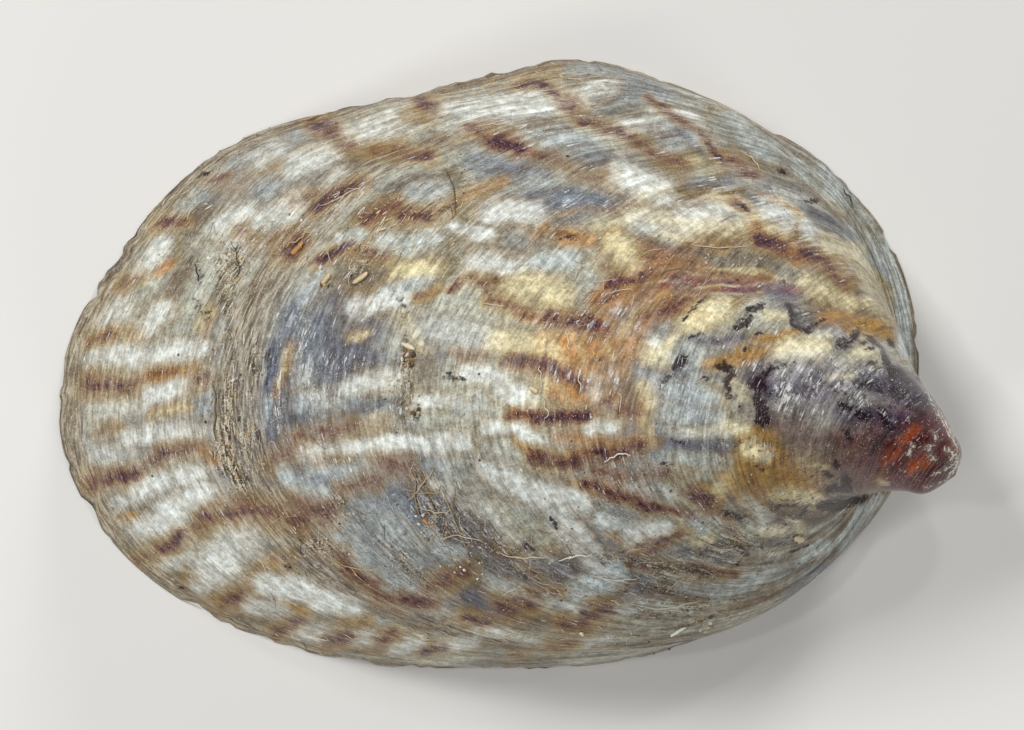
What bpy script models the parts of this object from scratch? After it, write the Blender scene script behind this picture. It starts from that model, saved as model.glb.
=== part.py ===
"""A small limpet shell, 12.6 mm long: one hollow cap of shell with a hooked beak.

The shell is built the way it grew. The animal added shell along the edge of its opening,
so each earlier edge is still there as a ring on the surface. A ring here is a flat oval
that is carried along two lines: the ridge, which climbs from the beak over the top and
down to the front, and the back, the short steep wall under the beak. The outside is the
loft through all the rings, from a point at the tip of the beak to the margin. The inside
is a loft through the same rings drawn in by the thickness of the wall.

Frame: metres, +Z up, the flat rim on Z = 0, the beak at +X.
Sizes in the tables are millimetres.
"""
import bpy
import numpy as np

COLLECTION_NAME = "limpet_shell"
NODE_NAME = "shell"
MILLIMETRE = 0.001

# The ridge of the shell, from the tip of the beak to the front margin: x, y, z.
RIDGE_LINE = (
    (6.12, -1.53, 2.02),
    (5.97, -1.37, 2.55),
    (5.64, -1.17, 3.10),
    (5.11, -0.92, 3.70),
    (4.33, -0.71, 4.25),
    (3.18, -0.59, 4.68),
    (1.70, -0.49, 4.80),
    (-0.56, -0.39, 4.30),
    (-2.89, -0.31, 3.05),
    (-4.80, -0.29, 1.55),
    (-6.40, -0.28, 0.00),
)
# The same rings where they cross the back wall, from the tip down to the back margin.
BACK_LINE = (
    (6.12, -1.53, 2.02),
    (6.04, -1.54, 1.65),
    (5.85, -1.42, 1.40),
    (5.62, -1.25, 1.25),
    (5.40, -1.08, 1.12),
    (5.28, -0.95, 0.95),
    (5.25, -0.88, 0.78),
    (5.30, -0.84, 0.58),
    (5.42, -0.82, 0.34),
    (5.56, -0.80, 0.17),
    (5.71, -0.80, 0.00),
)
# How far each ring reaches from its middle line to +Y and to -Y.
UPPER_REACH = (0.0, 0.30, 0.50, 0.76, 1.12, 1.85, 2.60, 3.37, 4.12, 4.58, 4.87)
LOWER_REACH = (0.0, 0.40, 0.57, 0.82, 1.08, 1.45, 1.94, 2.72, 3.30, 3.58, 3.78)
# Where the widest place lies, as a share of the half length towards the back.
UPPER_SHIFT = (0.0, 0.0, 0.05, 0.05, 0.05, 0.10, 0.18, 0.20, 0.20, 0.20, 0.21)
LOWER_SHIFT = (0.0, 0.0, 0.0, 0.0, 0.05, 0.10, 0.10, 0.10, 0.05, 0.0, 0.0)
# The beak leans to one side: degrees that each ring is turned about Z.
RING_TURN = (-42.0, -42.0, -41.0, -37.0, -28.0, -18.0, -10.0, -5.0, -2.0, -1.0, 0.0)
# How far the sides of each ring hang below its plane: the +Y flank is the flatter one.
UPPER_DROOP = (0.0, 0.0, 0.05, 0.15, 0.28, 0.42, 0.48, 0.40, 0.26, 0.12, 0.0)
LOWER_DROOP = (0.0, 0.0, 0.0, 0.05, 0.10, 0.15, 0.15, 0.10, 0.05, 0.0, 0.0)

# The margin is not a true oval: where it bulges and where it is pressed in.
MARGIN_ANGLES = (0.0, 15.0, 30.0, 45.0, 67.5, 90.0, 112.5, 135.0, 157.5, 180.0,
                 202.5, 225.0, 247.5, 270.0, 292.5, 315.0, 337.5, 360.0)
MARGIN_BULGE = (0.0, 0.15, 0.16, 0.02, -0.16, 0.05, -0.19, 0.05, -0.14, 0.0,
                0.21, 0.32, 0.20, 0.0, -0.03, -0.18, -0.15, 0.0)
BULGE_FADE = 4.0

# The fold between the beak and the +Y flank.
FOLD_DEPTH = 0.22
FOLD_STAGE = 0.34
FOLD_STAGE_WIDTH = 0.13
FOLD_START_DEGREES = 55.0
FOLD_DEGREES_PER_STAGE = 200.0
FOLD_WIDTH = 0.24

# The wall, measured along the plane of a ring.
WALL = 0.46
RIM_WIDTH = 0.30
RIM_STAGE = 0.80
INNER_START = 0.135

POINTS_AROUND = 72
OUTER_RINGS = 32
INNER_RINGS = 14
TIP_CROWDING = 1.35

SHELL_COLOUR = (0.62, 0.55, 0.44, 1.0)
SHELL_ROUGHNESS = 0.35
SHARP_RIM_DEGREES = 30.0


def clear_scene():
    for item in list(bpy.data.objects):
        bpy.data.objects.remove(item, do_unlink=True)


def stage_positions():
    """Stage of each listed ring: its share of the ridge's length, 0 at the tip."""
    steps = np.linalg.norm(np.diff(np.array(RIDGE_LINE), axis=0), axis=1)
    return np.concatenate([[0.0], np.cumsum(steps)]) / steps.sum()


def smooth_through(positions, values, wanted):
    """Smooth curve through the values: cubic pieces that share their slopes at the joins."""
    positions = np.asarray(positions, dtype=float)
    values = np.asarray(values, dtype=float)
    slopes = np.gradient(values, positions, axis=0)
    piece = np.searchsorted(positions, wanted, side="right") - 1
    piece = np.clip(piece, 0, len(positions) - 2)
    span = positions[piece + 1] - positions[piece]
    part = (wanted - positions[piece]) / span
    extra_axes = part.shape + (1,) * (values.ndim - 1)
    part = part.reshape(extra_axes)
    span = span.reshape(extra_axes)
    start_weight = 2 * part**3 - 3 * part**2 + 1
    start_slope_weight = part**3 - 2 * part**2 + part
    end_slope_weight = part**3 - part**2
    return (start_weight * values[piece] + (1 - start_weight) * values[piece + 1]
            + span * (start_slope_weight * slopes[piece] + end_slope_weight * slopes[piece + 1]))


def length_of(vectors):
    return np.linalg.norm(vectors, axis=-1, keepdims=True) + 1e-9


def bulge_margin(points, middle, stage, angle):
    """Moves each ring out or in where the margin leaves the oval; the beak stays as it is."""
    bulge = smooth_through(MARGIN_ANGLES, MARGIN_BULGE, np.degrees(angle) % 360.0)
    outward = points - middle
    outward[..., 2] = 0.0
    outward = outward / length_of(outward)
    return points + outward * (bulge * stage**BULGE_FADE)[..., None]


def press_fold(points, middle, stage, angle):
    """Presses a valley into the +Y side of the beak, towards the middle of each ring."""
    valley = np.radians(FOLD_START_DEGREES + FOLD_DEGREES_PER_STAGE * stage)
    along = np.exp(-((stage - FOLD_STAGE) / FOLD_STAGE_WIDTH)**2)
    across = np.exp(-((angle - valley) / FOLD_WIDTH)**2)
    inward = (middle - points) / length_of(middle - points)
    return points + inward * (FOLD_DEPTH * along * across)[..., None]


def ring_points(stage, angle, inset):
    """Points of the growth rings.

    stage runs from 0 at the tip of the beak to 1 at the margin, angle runs around a ring
    from the back wall, and inset draws a ring in. The point is
    middle + half * (cos angle + shift * sin^2 angle) + side * reach * |sin angle|.
    """
    positions = stage_positions()
    ridge = smooth_through(positions, RIDGE_LINE, stage)
    back = smooth_through(positions, BACK_LINE, stage)
    middle = (ridge + back) / 2
    half = (back - ridge) / 2
    half = half * np.maximum(1.0 - inset[..., None] / length_of(half), 0.1)
    turn = np.radians(smooth_through(positions, RING_TURN, stage))
    side = np.stack([-np.sin(turn), np.cos(turn), np.zeros_like(turn)], axis=-1)
    upper = np.sin(angle) >= 0.0
    sideways = np.abs(np.sin(angle))
    upper_reach = smooth_through(positions, UPPER_REACH, stage) - inset
    lower_reach = smooth_through(positions, LOWER_REACH, stage) - inset
    reach = np.where(upper, upper_reach, -lower_reach)
    shift = np.where(upper, smooth_through(positions, UPPER_SHIFT, stage),
                     smooth_through(positions, LOWER_SHIFT, stage))
    droop = np.where(upper, smooth_through(positions, UPPER_DROOP, stage),
                     smooth_through(positions, LOWER_DROOP, stage))
    points = middle + half * (np.cos(angle) + shift * sideways**2)[..., None]
    points = points + side * (reach * sideways)[..., None]
    points[..., 2] -= droop * sideways**2
    points = bulge_margin(points, middle, stage, angle)
    points = press_fold(points, middle, stage, angle)
    points[..., 2] = np.maximum(points[..., 2], 0.0)
    return points


def outer_surface():
    """Rings from just past the tip to the margin, closer together on the beak."""
    share = np.arange(1, OUTER_RINGS + 1) / OUTER_RINGS
    stage, angle = np.meshgrid(share**TIP_CROWDING, ring_angles(), indexing="ij")
    return ring_points(stage, angle, np.zeros_like(stage))


def inner_surface():
    """Rings from the margin up to the top of the hollow, inside the outer ones."""
    share = np.linspace(1.0, INNER_START, INNER_RINGS)
    stage, angle = np.meshgrid(share, ring_angles(), indexing="ij")
    towards_rim = np.clip((stage - RIM_STAGE) / (1.0 - RIM_STAGE), 0.0, 1.0)
    return ring_points(stage, angle, WALL + (RIM_WIDTH - WALL) * towards_rim)


def ring_angles():
    return np.arange(POINTS_AROUND) * 2 * np.pi / POINTS_AROUND


def strip_faces(first_ring, second_ring):
    """Quads between two neighbouring rings, named by the number of each ring."""
    faces = []
    for place in range(POINTS_AROUND):
        following = (place + 1) % POINTS_AROUND
        faces.append((first_ring * POINTS_AROUND + place,
                      second_ring * POINTS_AROUND + place,
                      second_ring * POINTS_AROUND + following,
                      first_ring * POINTS_AROUND + following))
    return faces


def cap_faces(pole, ring, outward):
    """Triangles from a pole point to a ring."""
    faces = []
    for place in range(POINTS_AROUND):
        near = ring * POINTS_AROUND + place
        far = ring * POINTS_AROUND + (place + 1) % POINTS_AROUND
        faces.append((pole, near, far) if outward else (pole, far, near))
    return faces


def shell_mesh():
    """Outer loft, flat rim and inner loft as one closed body."""
    outer = outer_surface()
    inner = inner_surface()
    rings = np.concatenate([outer, inner])
    tip = np.array(RIDGE_LINE[0])
    hollow_top = inner[-1].mean(axis=0)
    points = np.concatenate([rings.reshape(-1, 3), [tip, hollow_top]]) * MILLIMETRE
    last_ring = len(rings) - 1
    tip_index = len(points) - 2
    faces = cap_faces(tip_index, 0, outward=True)
    for ring in range(last_ring):
        faces += strip_faces(ring, ring + 1)
    faces += cap_faces(tip_index + 1, last_ring, outward=False)
    mesh = bpy.data.meshes.new(NODE_NAME)
    mesh.from_pydata(points.tolist(), [], faces)
    mesh.validate()
    mesh.shade_smooth()
    mesh.set_sharp_from_angle(angle=np.radians(SHARP_RIM_DEGREES))
    return mesh


def shell_material():
    material = bpy.data.materials.new("shell_lime")
    material.use_nodes = True
    shader = material.node_tree.nodes["Principled BSDF"]
    shader.inputs["Base Color"].default_value = SHELL_COLOUR
    shader.inputs["Roughness"].default_value = SHELL_ROUGHNESS
    shader.inputs["Metallic"].default_value = 0.0
    return material


def build_shell():
    collection = bpy.data.collections.new(COLLECTION_NAME)
    bpy.context.scene.collection.children.link(collection)
    shell = bpy.data.objects.new(NODE_NAME, shell_mesh())
    shell.data.materials.append(shell_material())
    collection.objects.link(shell)
    return shell


clear_scene()
build_shell()
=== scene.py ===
# %% [markdown]
# # A limpet shell
# A shell is a record of its own growth. The animal adds lime along the edge of its opening,
# so every earlier edge is still there as a ring. This lesson draws the rings with numpy,
# roughs their surface up the way growth, wear and dirt do, paints it, and lights it softly.
# The shell's solid stands ready as a fixed frame, and the fine surface is built over it.

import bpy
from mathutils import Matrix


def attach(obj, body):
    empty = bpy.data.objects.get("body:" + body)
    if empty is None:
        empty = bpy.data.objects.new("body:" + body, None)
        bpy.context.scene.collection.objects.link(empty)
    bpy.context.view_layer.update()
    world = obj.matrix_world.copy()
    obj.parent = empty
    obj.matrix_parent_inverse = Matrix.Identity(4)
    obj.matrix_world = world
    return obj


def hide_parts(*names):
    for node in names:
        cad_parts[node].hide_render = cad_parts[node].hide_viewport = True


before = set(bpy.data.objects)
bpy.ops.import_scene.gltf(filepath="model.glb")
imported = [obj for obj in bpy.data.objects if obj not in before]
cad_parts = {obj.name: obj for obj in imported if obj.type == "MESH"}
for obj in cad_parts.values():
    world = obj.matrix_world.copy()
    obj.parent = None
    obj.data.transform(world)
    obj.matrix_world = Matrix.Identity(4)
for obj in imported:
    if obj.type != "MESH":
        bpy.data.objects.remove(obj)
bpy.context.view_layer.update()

# %% Libraries and units
import itertools

import bpy
import numpy as np
from mathutils import Vector
from mathutils.kdtree import KDTree

MM = 0.001
SEED = 11

# %% [markdown]
# ## The camera first
# The shell is small, 12.6 mm long, and was looked at straight from above through a long lens.
# Each millimetre on the table is 70.6 pixels wide, so the width of the view, the lens and the
# sensor fix how far away the camera stands. Knowing that, any point of the surface can be
# told where it shows in the picture, which is how the markings find their places later.

# %% Camera
PICTURE_WIDTH = 1024
PICTURE_HEIGHT = 730
PIXELS_PER_MM = 70.6
LENS_MM = 200.0
SENSOR_MM = 36.0
VIEW_WIDTH = PICTURE_WIDTH / PIXELS_PER_MM
EYE_HEIGHT = VIEW_WIDTH * LENS_MM / SENSOR_MM

camera_data = bpy.data.cameras.new("camera")
camera_data.lens = LENS_MM
camera_data.sensor_width = SENSOR_MM
camera_data.clip_start = 0.001
camera_data.clip_end = 10.0
camera = bpy.data.objects.new("camera", camera_data)
camera.location = (0.0, 0.0, EYE_HEIGHT * MM)
bpy.context.scene.collection.objects.link(camera)
bpy.context.scene.camera = camera
print("camera height in millimetres:", round(EYE_HEIGHT, 1))


def seen_from_above(points):
    """Picture place of points in millimetres: x and y grow by how near they are to the eye."""
    nearer = EYE_HEIGHT / (EYE_HEIGHT - points[..., 2])
    across = PICTURE_WIDTH / 2 + points[..., 0] * PIXELS_PER_MM * nearer
    down = PICTURE_HEIGHT / 2 - points[..., 1] * PIXELS_PER_MM * nearer
    return np.stack([across, down], axis=-1)


# %% [markdown]
# ## Two tools: smooth curves and soft noise
# A growing thing is smooth in the large and irregular in the small. The large shape comes
# from a few measured values with a smooth curve through them. The small one comes from value
# noise: random numbers on the corners of a grid of cubes, blended smoothly in between.

# %% Smooth curves and soft noise
def smooth_through(positions, values, wanted):
    """Smooth curve through the values: cubic pieces that share their slopes at the joins."""
    positions = np.asarray(positions, dtype=float)
    values = np.asarray(values, dtype=float)
    slopes = np.gradient(values, positions, axis=0)
    piece = np.searchsorted(positions, wanted, side="right") - 1
    piece = np.clip(piece, 0, len(positions) - 2)
    span = positions[piece + 1] - positions[piece]
    part = (wanted - positions[piece]) / span
    extra_axes = part.shape + (1,) * (values.ndim - 1)
    part = part.reshape(extra_axes)
    span = span.reshape(extra_axes)
    start_weight = 2 * part**3 - 3 * part**2 + 1
    start_slope_weight = part**3 - 2 * part**2 + part
    end_slope_weight = part**3 - part**2
    return (start_weight * values[piece] + (1 - start_weight) * values[piece + 1]
            + span * (start_slope_weight * slopes[piece] + end_slope_weight * slopes[piece + 1]))


def length_of(vectors):
    return np.linalg.norm(vectors, axis=-1, keepdims=True) + 1e-9


def soft_step(low, high, value):
    """0 below low, 1 above high, and 3t^2 - 2t^3 in between."""
    share = np.clip((value - low) / (high - low), 0.0, 1.0)
    return share * share * (3.0 - 2.0 * share)


LATTICE = 64
lattice = np.random.default_rng(SEED).uniform(-1.0, 1.0, (LATTICE, LATTICE, LATTICE))


def cloud(first, second, third, shift=0.0):
    """Value noise from -1 to 1: a blend of the random numbers at the 8 corners of a cube."""
    place = np.stack(np.broadcast_arrays(first + shift, second - shift, third + 2 * shift), axis=-1)
    cell = np.floor(place).astype(int)
    part = place - cell
    part = part * part * (3.0 - 2.0 * part)
    total = np.zeros(place.shape[:-1])
    for corner in itertools.product((0, 1), repeat=3):
        index = (cell + corner) % LATTICE
        weight = np.where(corner, part, 1.0 - part).prod(axis=-1)
        total += weight * lattice[index[..., 0], index[..., 1], index[..., 2]]
    return total


# %% [markdown]
# ## The growth rings
# Each ring is a flat oval carried along two lines. The ridge climbs from the tip of the beak
# over the top and down to the front. The back is the short wall under the beak. One number,
# the stage, runs from 0 at the tip to 1 at the margin, and an angle runs round each ring.

# %% Driving dimensions in millimetres
RIDGE_LINE = (
    (6.12, -1.53, 2.02), (5.97, -1.37, 2.55), (5.64, -1.17, 3.10), (5.11, -0.92, 3.70),
    (4.33, -0.71, 4.25), (3.18, -0.59, 4.68), (1.70, -0.49, 4.80), (-0.56, -0.39, 4.30),
    (-2.89, -0.31, 3.05), (-4.80, -0.29, 1.55), (-6.40, -0.28, 0.00),
)
BACK_LINE = (
    (6.12, -1.53, 2.02), (6.04, -1.54, 1.65), (5.85, -1.42, 1.40), (5.62, -1.25, 1.25),
    (5.40, -1.08, 1.12), (5.28, -0.95, 0.95), (5.25, -0.88, 0.78), (5.30, -0.84, 0.58),
    (5.42, -0.82, 0.34), (5.56, -0.80, 0.17), (5.71, -0.80, 0.00),
)
UPPER_REACH = (0.0, 0.30, 0.50, 0.76, 1.12, 1.85, 2.60, 3.37, 4.12, 4.58, 4.87)
LOWER_REACH = (0.0, 0.40, 0.57, 0.82, 1.08, 1.45, 1.94, 2.72, 3.30, 3.58, 3.78)
UPPER_SHIFT = (0.0, 0.0, 0.05, 0.05, 0.05, 0.10, 0.18, 0.20, 0.20, 0.20, 0.21)
LOWER_SHIFT = (0.0, 0.0, 0.0, 0.0, 0.05, 0.10, 0.10, 0.10, 0.05, 0.0, 0.0)
RING_TURN = (-42.0, -42.0, -41.0, -37.0, -28.0, -18.0, -10.0, -5.0, -2.0, -1.0, 0.0)
UPPER_DROOP = (0.0, 0.0, 0.05, 0.15, 0.28, 0.42, 0.48, 0.40, 0.26, 0.12, 0.0)
LOWER_DROOP = (0.0, 0.0, 0.0, 0.05, 0.10, 0.15, 0.15, 0.10, 0.05, 0.0, 0.0)
MARGIN_ANGLES = (0.0, 15.0, 30.0, 45.0, 67.5, 90.0, 112.5, 135.0, 157.5, 180.0,
                 202.5, 225.0, 247.5, 270.0, 292.5, 315.0, 337.5, 360.0)
MARGIN_BULGE = (0.0, 0.15, 0.16, 0.02, -0.16, 0.05, -0.19, 0.05, -0.14, 0.0,
                0.21, 0.32, 0.20, 0.0, -0.03, -0.18, -0.15, 0.0)
BULGE_FADE = 4.0
FOLD_DEPTH = 0.22
FOLD_STAGE = 0.34
FOLD_STAGE_WIDTH = 0.13
FOLD_START_DEGREES = 55.0
FOLD_DEGREES_PER_STAGE = 200.0
FOLD_WIDTH = 0.24
WALL = 0.46
RIM_WIDTH = 0.30
RIM_STAGE = 0.80
INNER_START = 0.135

ridge_steps = np.linalg.norm(np.diff(np.array(RIDGE_LINE), axis=0), axis=1)
RIDGE_LENGTH = ridge_steps.sum()
STAGES = np.concatenate([[0.0], np.cumsum(ridge_steps)]) / RIDGE_LENGTH
print("ridge length in millimetres:", round(RIDGE_LENGTH, 2))


# %% Points of the rings
def bulge_margin(points, middle, stage, angle):
    """Moves each ring out or in where the margin leaves the oval; the beak stays as it is."""
    bulge = smooth_through(MARGIN_ANGLES, MARGIN_BULGE, np.degrees(angle) % 360.0)
    outward = points - middle
    outward[..., 2] = 0.0
    outward = outward / length_of(outward)
    return points + outward * (bulge * stage**BULGE_FADE)[..., None]


def press_fold(points, middle, stage, angle):
    """Presses a valley into the +Y side of the beak, towards the middle of each ring."""
    valley = np.radians(FOLD_START_DEGREES + FOLD_DEGREES_PER_STAGE * stage)
    along = np.exp(-((stage - FOLD_STAGE) / FOLD_STAGE_WIDTH)**2)
    across = np.exp(-((angle - valley) / FOLD_WIDTH)**2)
    inward = (middle - points) / length_of(middle - points)
    return points + inward * (FOLD_DEPTH * along * across)[..., None]


def ring_points(stage, angle, inset):
    """Points of the rings, each drawn in by its inset:
    middle + half * (cos angle + shift * sin^2 angle) + side * reach * |sin angle|."""
    ridge = smooth_through(STAGES, RIDGE_LINE, stage)
    back = smooth_through(STAGES, BACK_LINE, stage)
    middle = (ridge + back) / 2
    half = (back - ridge) / 2
    half = half * np.maximum(1.0 - inset[..., None] / length_of(half), 0.1)
    turn = np.radians(smooth_through(STAGES, RING_TURN, stage))
    side = np.stack([-np.sin(turn), np.cos(turn), np.zeros_like(turn)], axis=-1)
    upper = np.sin(angle) >= 0.0
    sideways = np.abs(np.sin(angle))
    reach = np.where(upper, smooth_through(STAGES, UPPER_REACH, stage) - inset,
                     inset - smooth_through(STAGES, LOWER_REACH, stage))
    shift = np.where(upper, smooth_through(STAGES, UPPER_SHIFT, stage),
                     smooth_through(STAGES, LOWER_SHIFT, stage))
    droop = np.where(upper, smooth_through(STAGES, UPPER_DROOP, stage),
                     smooth_through(STAGES, LOWER_DROOP, stage))
    points = middle + half * (np.cos(angle) + shift * sideways**2)[..., None]
    points = points + side * (reach * sideways)[..., None]
    points[..., 2] -= droop * sideways**2
    points = bulge_margin(points, middle, stage, angle)
    points = press_fold(points, middle, stage, angle)
    points[..., 2] = np.maximum(points[..., 2], 0.0)
    return points


# %% [markdown]
# ## Two grids
# The outside is a grid of 280 rings by 320 places around, fine enough that the growth lines
# are real ridges. The hollow inside is smooth glaze, so 20 rings do for it. Two things are
# measured on the outer grid: its normals, along which the relief will push, and the room
# between rings, because lines crowd together on the flanks.

# %% Grids of stage and angle
AROUND = 320
OUTER_ROWS = 280
INNER_ROWS = 20
TIP_CROWDING = 1.15

around = np.arange(AROUND) * 2 * np.pi / AROUND
outer_stages = (np.arange(1, OUTER_ROWS + 1) / OUTER_ROWS)**TIP_CROWDING
stage, angle = np.meshgrid(outer_stages, around, indexing="ij")
bare = ring_points(stage, angle, np.zeros_like(stage))


def grid_normals(points):
    """Outward normals: the cross product of the two edge directions of the grid."""
    along = np.gradient(points, axis=0)
    across = np.roll(points, -1, axis=1) - np.roll(points, 1, axis=1)
    normal = np.cross(along, across)
    return normal / length_of(normal)


normals = grid_normals(bare)
spot = seen_from_above(bare)
x, y = bare[..., 0], bare[..., 1]
row_gap = length_of(np.gradient(bare, axis=0))[..., 0]
room = row_gap / np.gradient(outer_stages * RIDGE_LENGTH)[:, None]
print("room between rings, least and most:", room.min().round(2), room.max().round(2))

# %% [markdown]
# ## Growth lines that wander
# Real growth lines are not perfect ovals: they wave where the flank is folded and wander a
# little everywhere. The wave is added to the stage that the relief and the colours read, so
# both follow the same lines. Folds on the +Y flank radiate from the beak and show as waves.

# %% Wandering growth lines and folds
FLANK_FOLD_DEGREES = 23.0
FLANK_FOLD_CREST = 92.0
FLANK_FOLD_HEIGHT = 0.03
FLANK_WAVE = 0.05
WANDER = 0.08

degrees = np.degrees(angle)
on_flank = soft_step(38, 58, degrees) * (1 - soft_step(128, 150, degrees)) * soft_step(0.3, 0.6, stage)
fold_wave = on_flank * np.cos(np.radians((degrees - FLANK_FOLD_CREST) * 360 / FLANK_FOLD_DEGREES))
wander = cloud(x / 1.8, y / 1.8, 0.0, 3.0) + 0.25 * cloud(x / 0.7, y / 0.7, 0.0, 9.0)
growth = stage * RIDGE_LENGTH + soft_step(0.05, 0.3, stage) * (WANDER * wander - FLANK_WAVE * fold_wave)
print("growth in millimetres, least and most:", growth.min().round(2), growth.max().round(2))

# %% Which side shows from above
BEAK_SHADOW = (806, 372, 500)
BEAK_STAGE = 0.33

hidden_by_beak = (soft_step(BEAK_STAGE, BEAK_STAGE + 0.04, stage)
                  * soft_step(BEAK_SHADOW[0], BEAK_SHADOW[0] + 14, spot[..., 0])
                  * soft_step(BEAK_SHADOW[1], BEAK_SHADOW[1] + 14, spot[..., 1])
                  * (1 - soft_step(BEAK_SHADOW[2] - 14, BEAK_SHADOW[2], spot[..., 1])))
shows = soft_step(-0.02, 0.18, normals[..., 2]) * (1 - hidden_by_beak)
print("share of the outside that shows:", (shows > 0.5).mean().round(2))

# %% [markdown]
# ## Relief
# Three kinds of relief lie on the rings. Growth ridges are noise that is short across the
# lines and long along them; several sizes are added, and each is kept only where the rings
# leave room for it. Lamella edges are steps, where growth stopped and a new sheet began a
# little lower. Knobs and pits on the beak are single soft bumps at the places they show.

# %% Growth ridges
RIDGE_SIZES = ((0.8, 0.016), (0.4, 0.028), (0.2, 0.060), (0.1, 0.110))
LONG_FOR_WIDE = 3.2


def growth_ridges():
    """Sum over sizes of size * slope * noise(growth / size, x / long, y / long)."""
    total = np.zeros_like(stage)
    for number, (size, slope) in enumerate(RIDGE_SIZES):
        true_size = size * room
        kept = soft_step(0.05, 0.10, true_size) * (1 - soft_step(0.6, 1.2, true_size))
        noise = cloud(growth / size, x / (size * LONG_FOR_WIDE), y / (size * LONG_FOR_WIDE), 5.0 * number)
        total += kept * true_size * slope * noise
    return total


# %% Lamella edges
LAMELLA_EDGES = (
    (0.905, 0.020), (0.860, 0.025), (0.800, 0.060), (0.785, 0.030), (0.768, 0.035), (0.742, 0.075),
    (0.690, 0.018), (0.640, 0.020), (0.586, 0.060), (0.530, 0.020), (0.459, 0.030), (0.415, 0.020),
    (0.375, 0.035), (0.332, 0.030), (0.279, 0.030), (0.262, 0.020), (0.215, 0.020), (0.160, 0.018),
)
STEP_SHARPNESS = 0.030
STEP_RECOVERY = 0.70
LIP_WIDTH = 0.09


def lamella_relief():
    """Each edge: a small lip, then a drop that the next sheet slowly makes up for."""
    ragged = 0.07 * cloud(x / 0.45, y / 0.45, 0.0, 21.0) + 0.03 * cloud(x / 0.16, y / 0.16, 0.0, 27.0)
    total = np.zeros_like(stage)
    for edge, drop in LAMELLA_EDGES:
        past = growth + ragged - edge * RIDGE_LENGTH
        patchy = 0.75 + 0.5 * cloud(x / 1.3, y / 1.3, edge * 40, 31.0)
        lip = np.exp(-((past + LIP_WIDTH) / LIP_WIDTH)**2)
        fallen = np.exp(-np.maximum(past, 0.0) / STEP_RECOVERY) / (1 + np.exp(-past / STEP_SHARPNESS))
        total += drop * patchy * (0.35 * lip - fallen) * np.minimum(room, 1.0)**0.6
    return total


# %% Knobs and pits: picture x and y, radius in pixels, height in millimetres
KNOBS = (
    (870, 355, 15, 0.060), (757, 456, 9, 0.050), (765, 508, 11, 0.045), (735, 488, 12, 0.035),
    (811, 289, 9, 0.040), (828, 297, 8, 0.035), (875, 311, 10, 0.040), (785, 318, 8, 0.040),
    (838, 468, 10, 0.030), (795, 351, 12, 0.035), (712, 312, 14, 0.040), (820, 372, 9, 0.020),
    (893, 428, 9, 0.025), (928, 445, 7, 0.025), (915, 470, 8, 0.020), (943, 462, 7, 0.030),
    (800, 497, 12, 0.035), (650, 537, 16, 0.045), (605, 519, 12, 0.030), (705, 545, 10, 0.030),
    (626, 258, 15, 0.050), (716, 215, 20, 0.050), (776, 214, 15, 0.040), (810, 228, 9, 0.035),
)
PITS = (
    (808, 317, 17, -0.085), (745, 320, 9, -0.030), (852, 309, 6, -0.030), (842, 277, 7, -0.040),
    (900, 400, 12, -0.030), (884, 445, 8, -0.030), (848, 479, 9, -0.040), (690, 500, 10, -0.050),
    (766, 400, 10, -0.020), (725, 378, 8, -0.020), (672, 372, 9, -0.025), (228, 262, 9, -0.050),
    (352, 274, 8, -0.030), (265, 372, 8, -0.045), (556, 526, 8, -0.030), (640, 566, 8, -0.040),
)


def knob_relief():
    """Each knob or pit: height * exp(-(distance / radius)^2), on the side that shows."""
    total = np.zeros_like(stage)
    for across, down, radius, height in KNOBS + PITS:
        gap = np.hypot(spot[..., 0] - across, spot[..., 1] - down)
        total += height * np.exp(-(gap / radius)**2)
    return total * shows


# %% [markdown]
# The relief is added along the normals. The very tip and the flat rim stay as they are, so
# that the shell still stands on its rim. The margin itself is a little chipped: points near
# it are drawn in by a noise that runs along the edge.

# %% Push the relief out and chip the margin
MARGIN_CHIP = 0.070
CHIP_START = 0.955
EDGE_NOTCHES = (
    (404, 93, 9, 0.05), (650, 82, 7, 0.05), (785, 590, 8, 0.08), (757, 607, 7, 0.06),
    (812, 567, 9, 0.05), (86, 296, 7, 0.04), (853, 541, 5, 0.04),
)


def chip_margin(points):
    """Draws points near the margin inwards: noise along the edge, and a few notches."""
    edge_noise = cloud(x / 0.35, y / 0.35, 0.0, 41.0) + 0.7 * cloud(x / 0.13, y / 0.13, 0.0, 47.0)
    depth = MARGIN_CHIP * np.maximum(edge_noise - 0.1, 0.0)
    for across, down, radius, notch in EDGE_NOTCHES:
        gap = np.hypot(spot[..., 0] - across, spot[..., 1] - down)
        depth += notch * np.exp(-(gap / radius)**2)
    middle = points.mean(axis=1, keepdims=True)
    inward = middle - points
    inward[..., 2] = 0.0
    inward = inward / length_of(inward)
    return points + inward * (depth * soft_step(CHIP_START, 1.0, stage))[..., None]


relief = growth_ridges() + lamella_relief() + knob_relief() + FLANK_FOLD_HEIGHT * fold_wave * stage
relief *= soft_step(0.0, 0.10, stage) * (1 - 0.7 * soft_step(0.985, 1.0, stage))
outer = chip_margin(bare + normals * relief[..., None])
outer[..., 2] = np.maximum(outer[..., 2], 0.0)
print("relief in millimetres, least and most:", relief.min().round(3), relief.max().round(3))

# %% The hollow, as smooth rings
inner_stages = np.linspace(1.0, INNER_START, INNER_ROWS)
inner_stage, inner_angle = np.meshgrid(inner_stages, around, indexing="ij")
towards_rim = np.clip((inner_stage - RIM_STAGE) / (1.0 - RIM_STAGE), 0.0, 1.0)
inner = ring_points(inner_stage, inner_angle, WALL + (RIM_WIDTH - WALL) * towards_rim)

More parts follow.
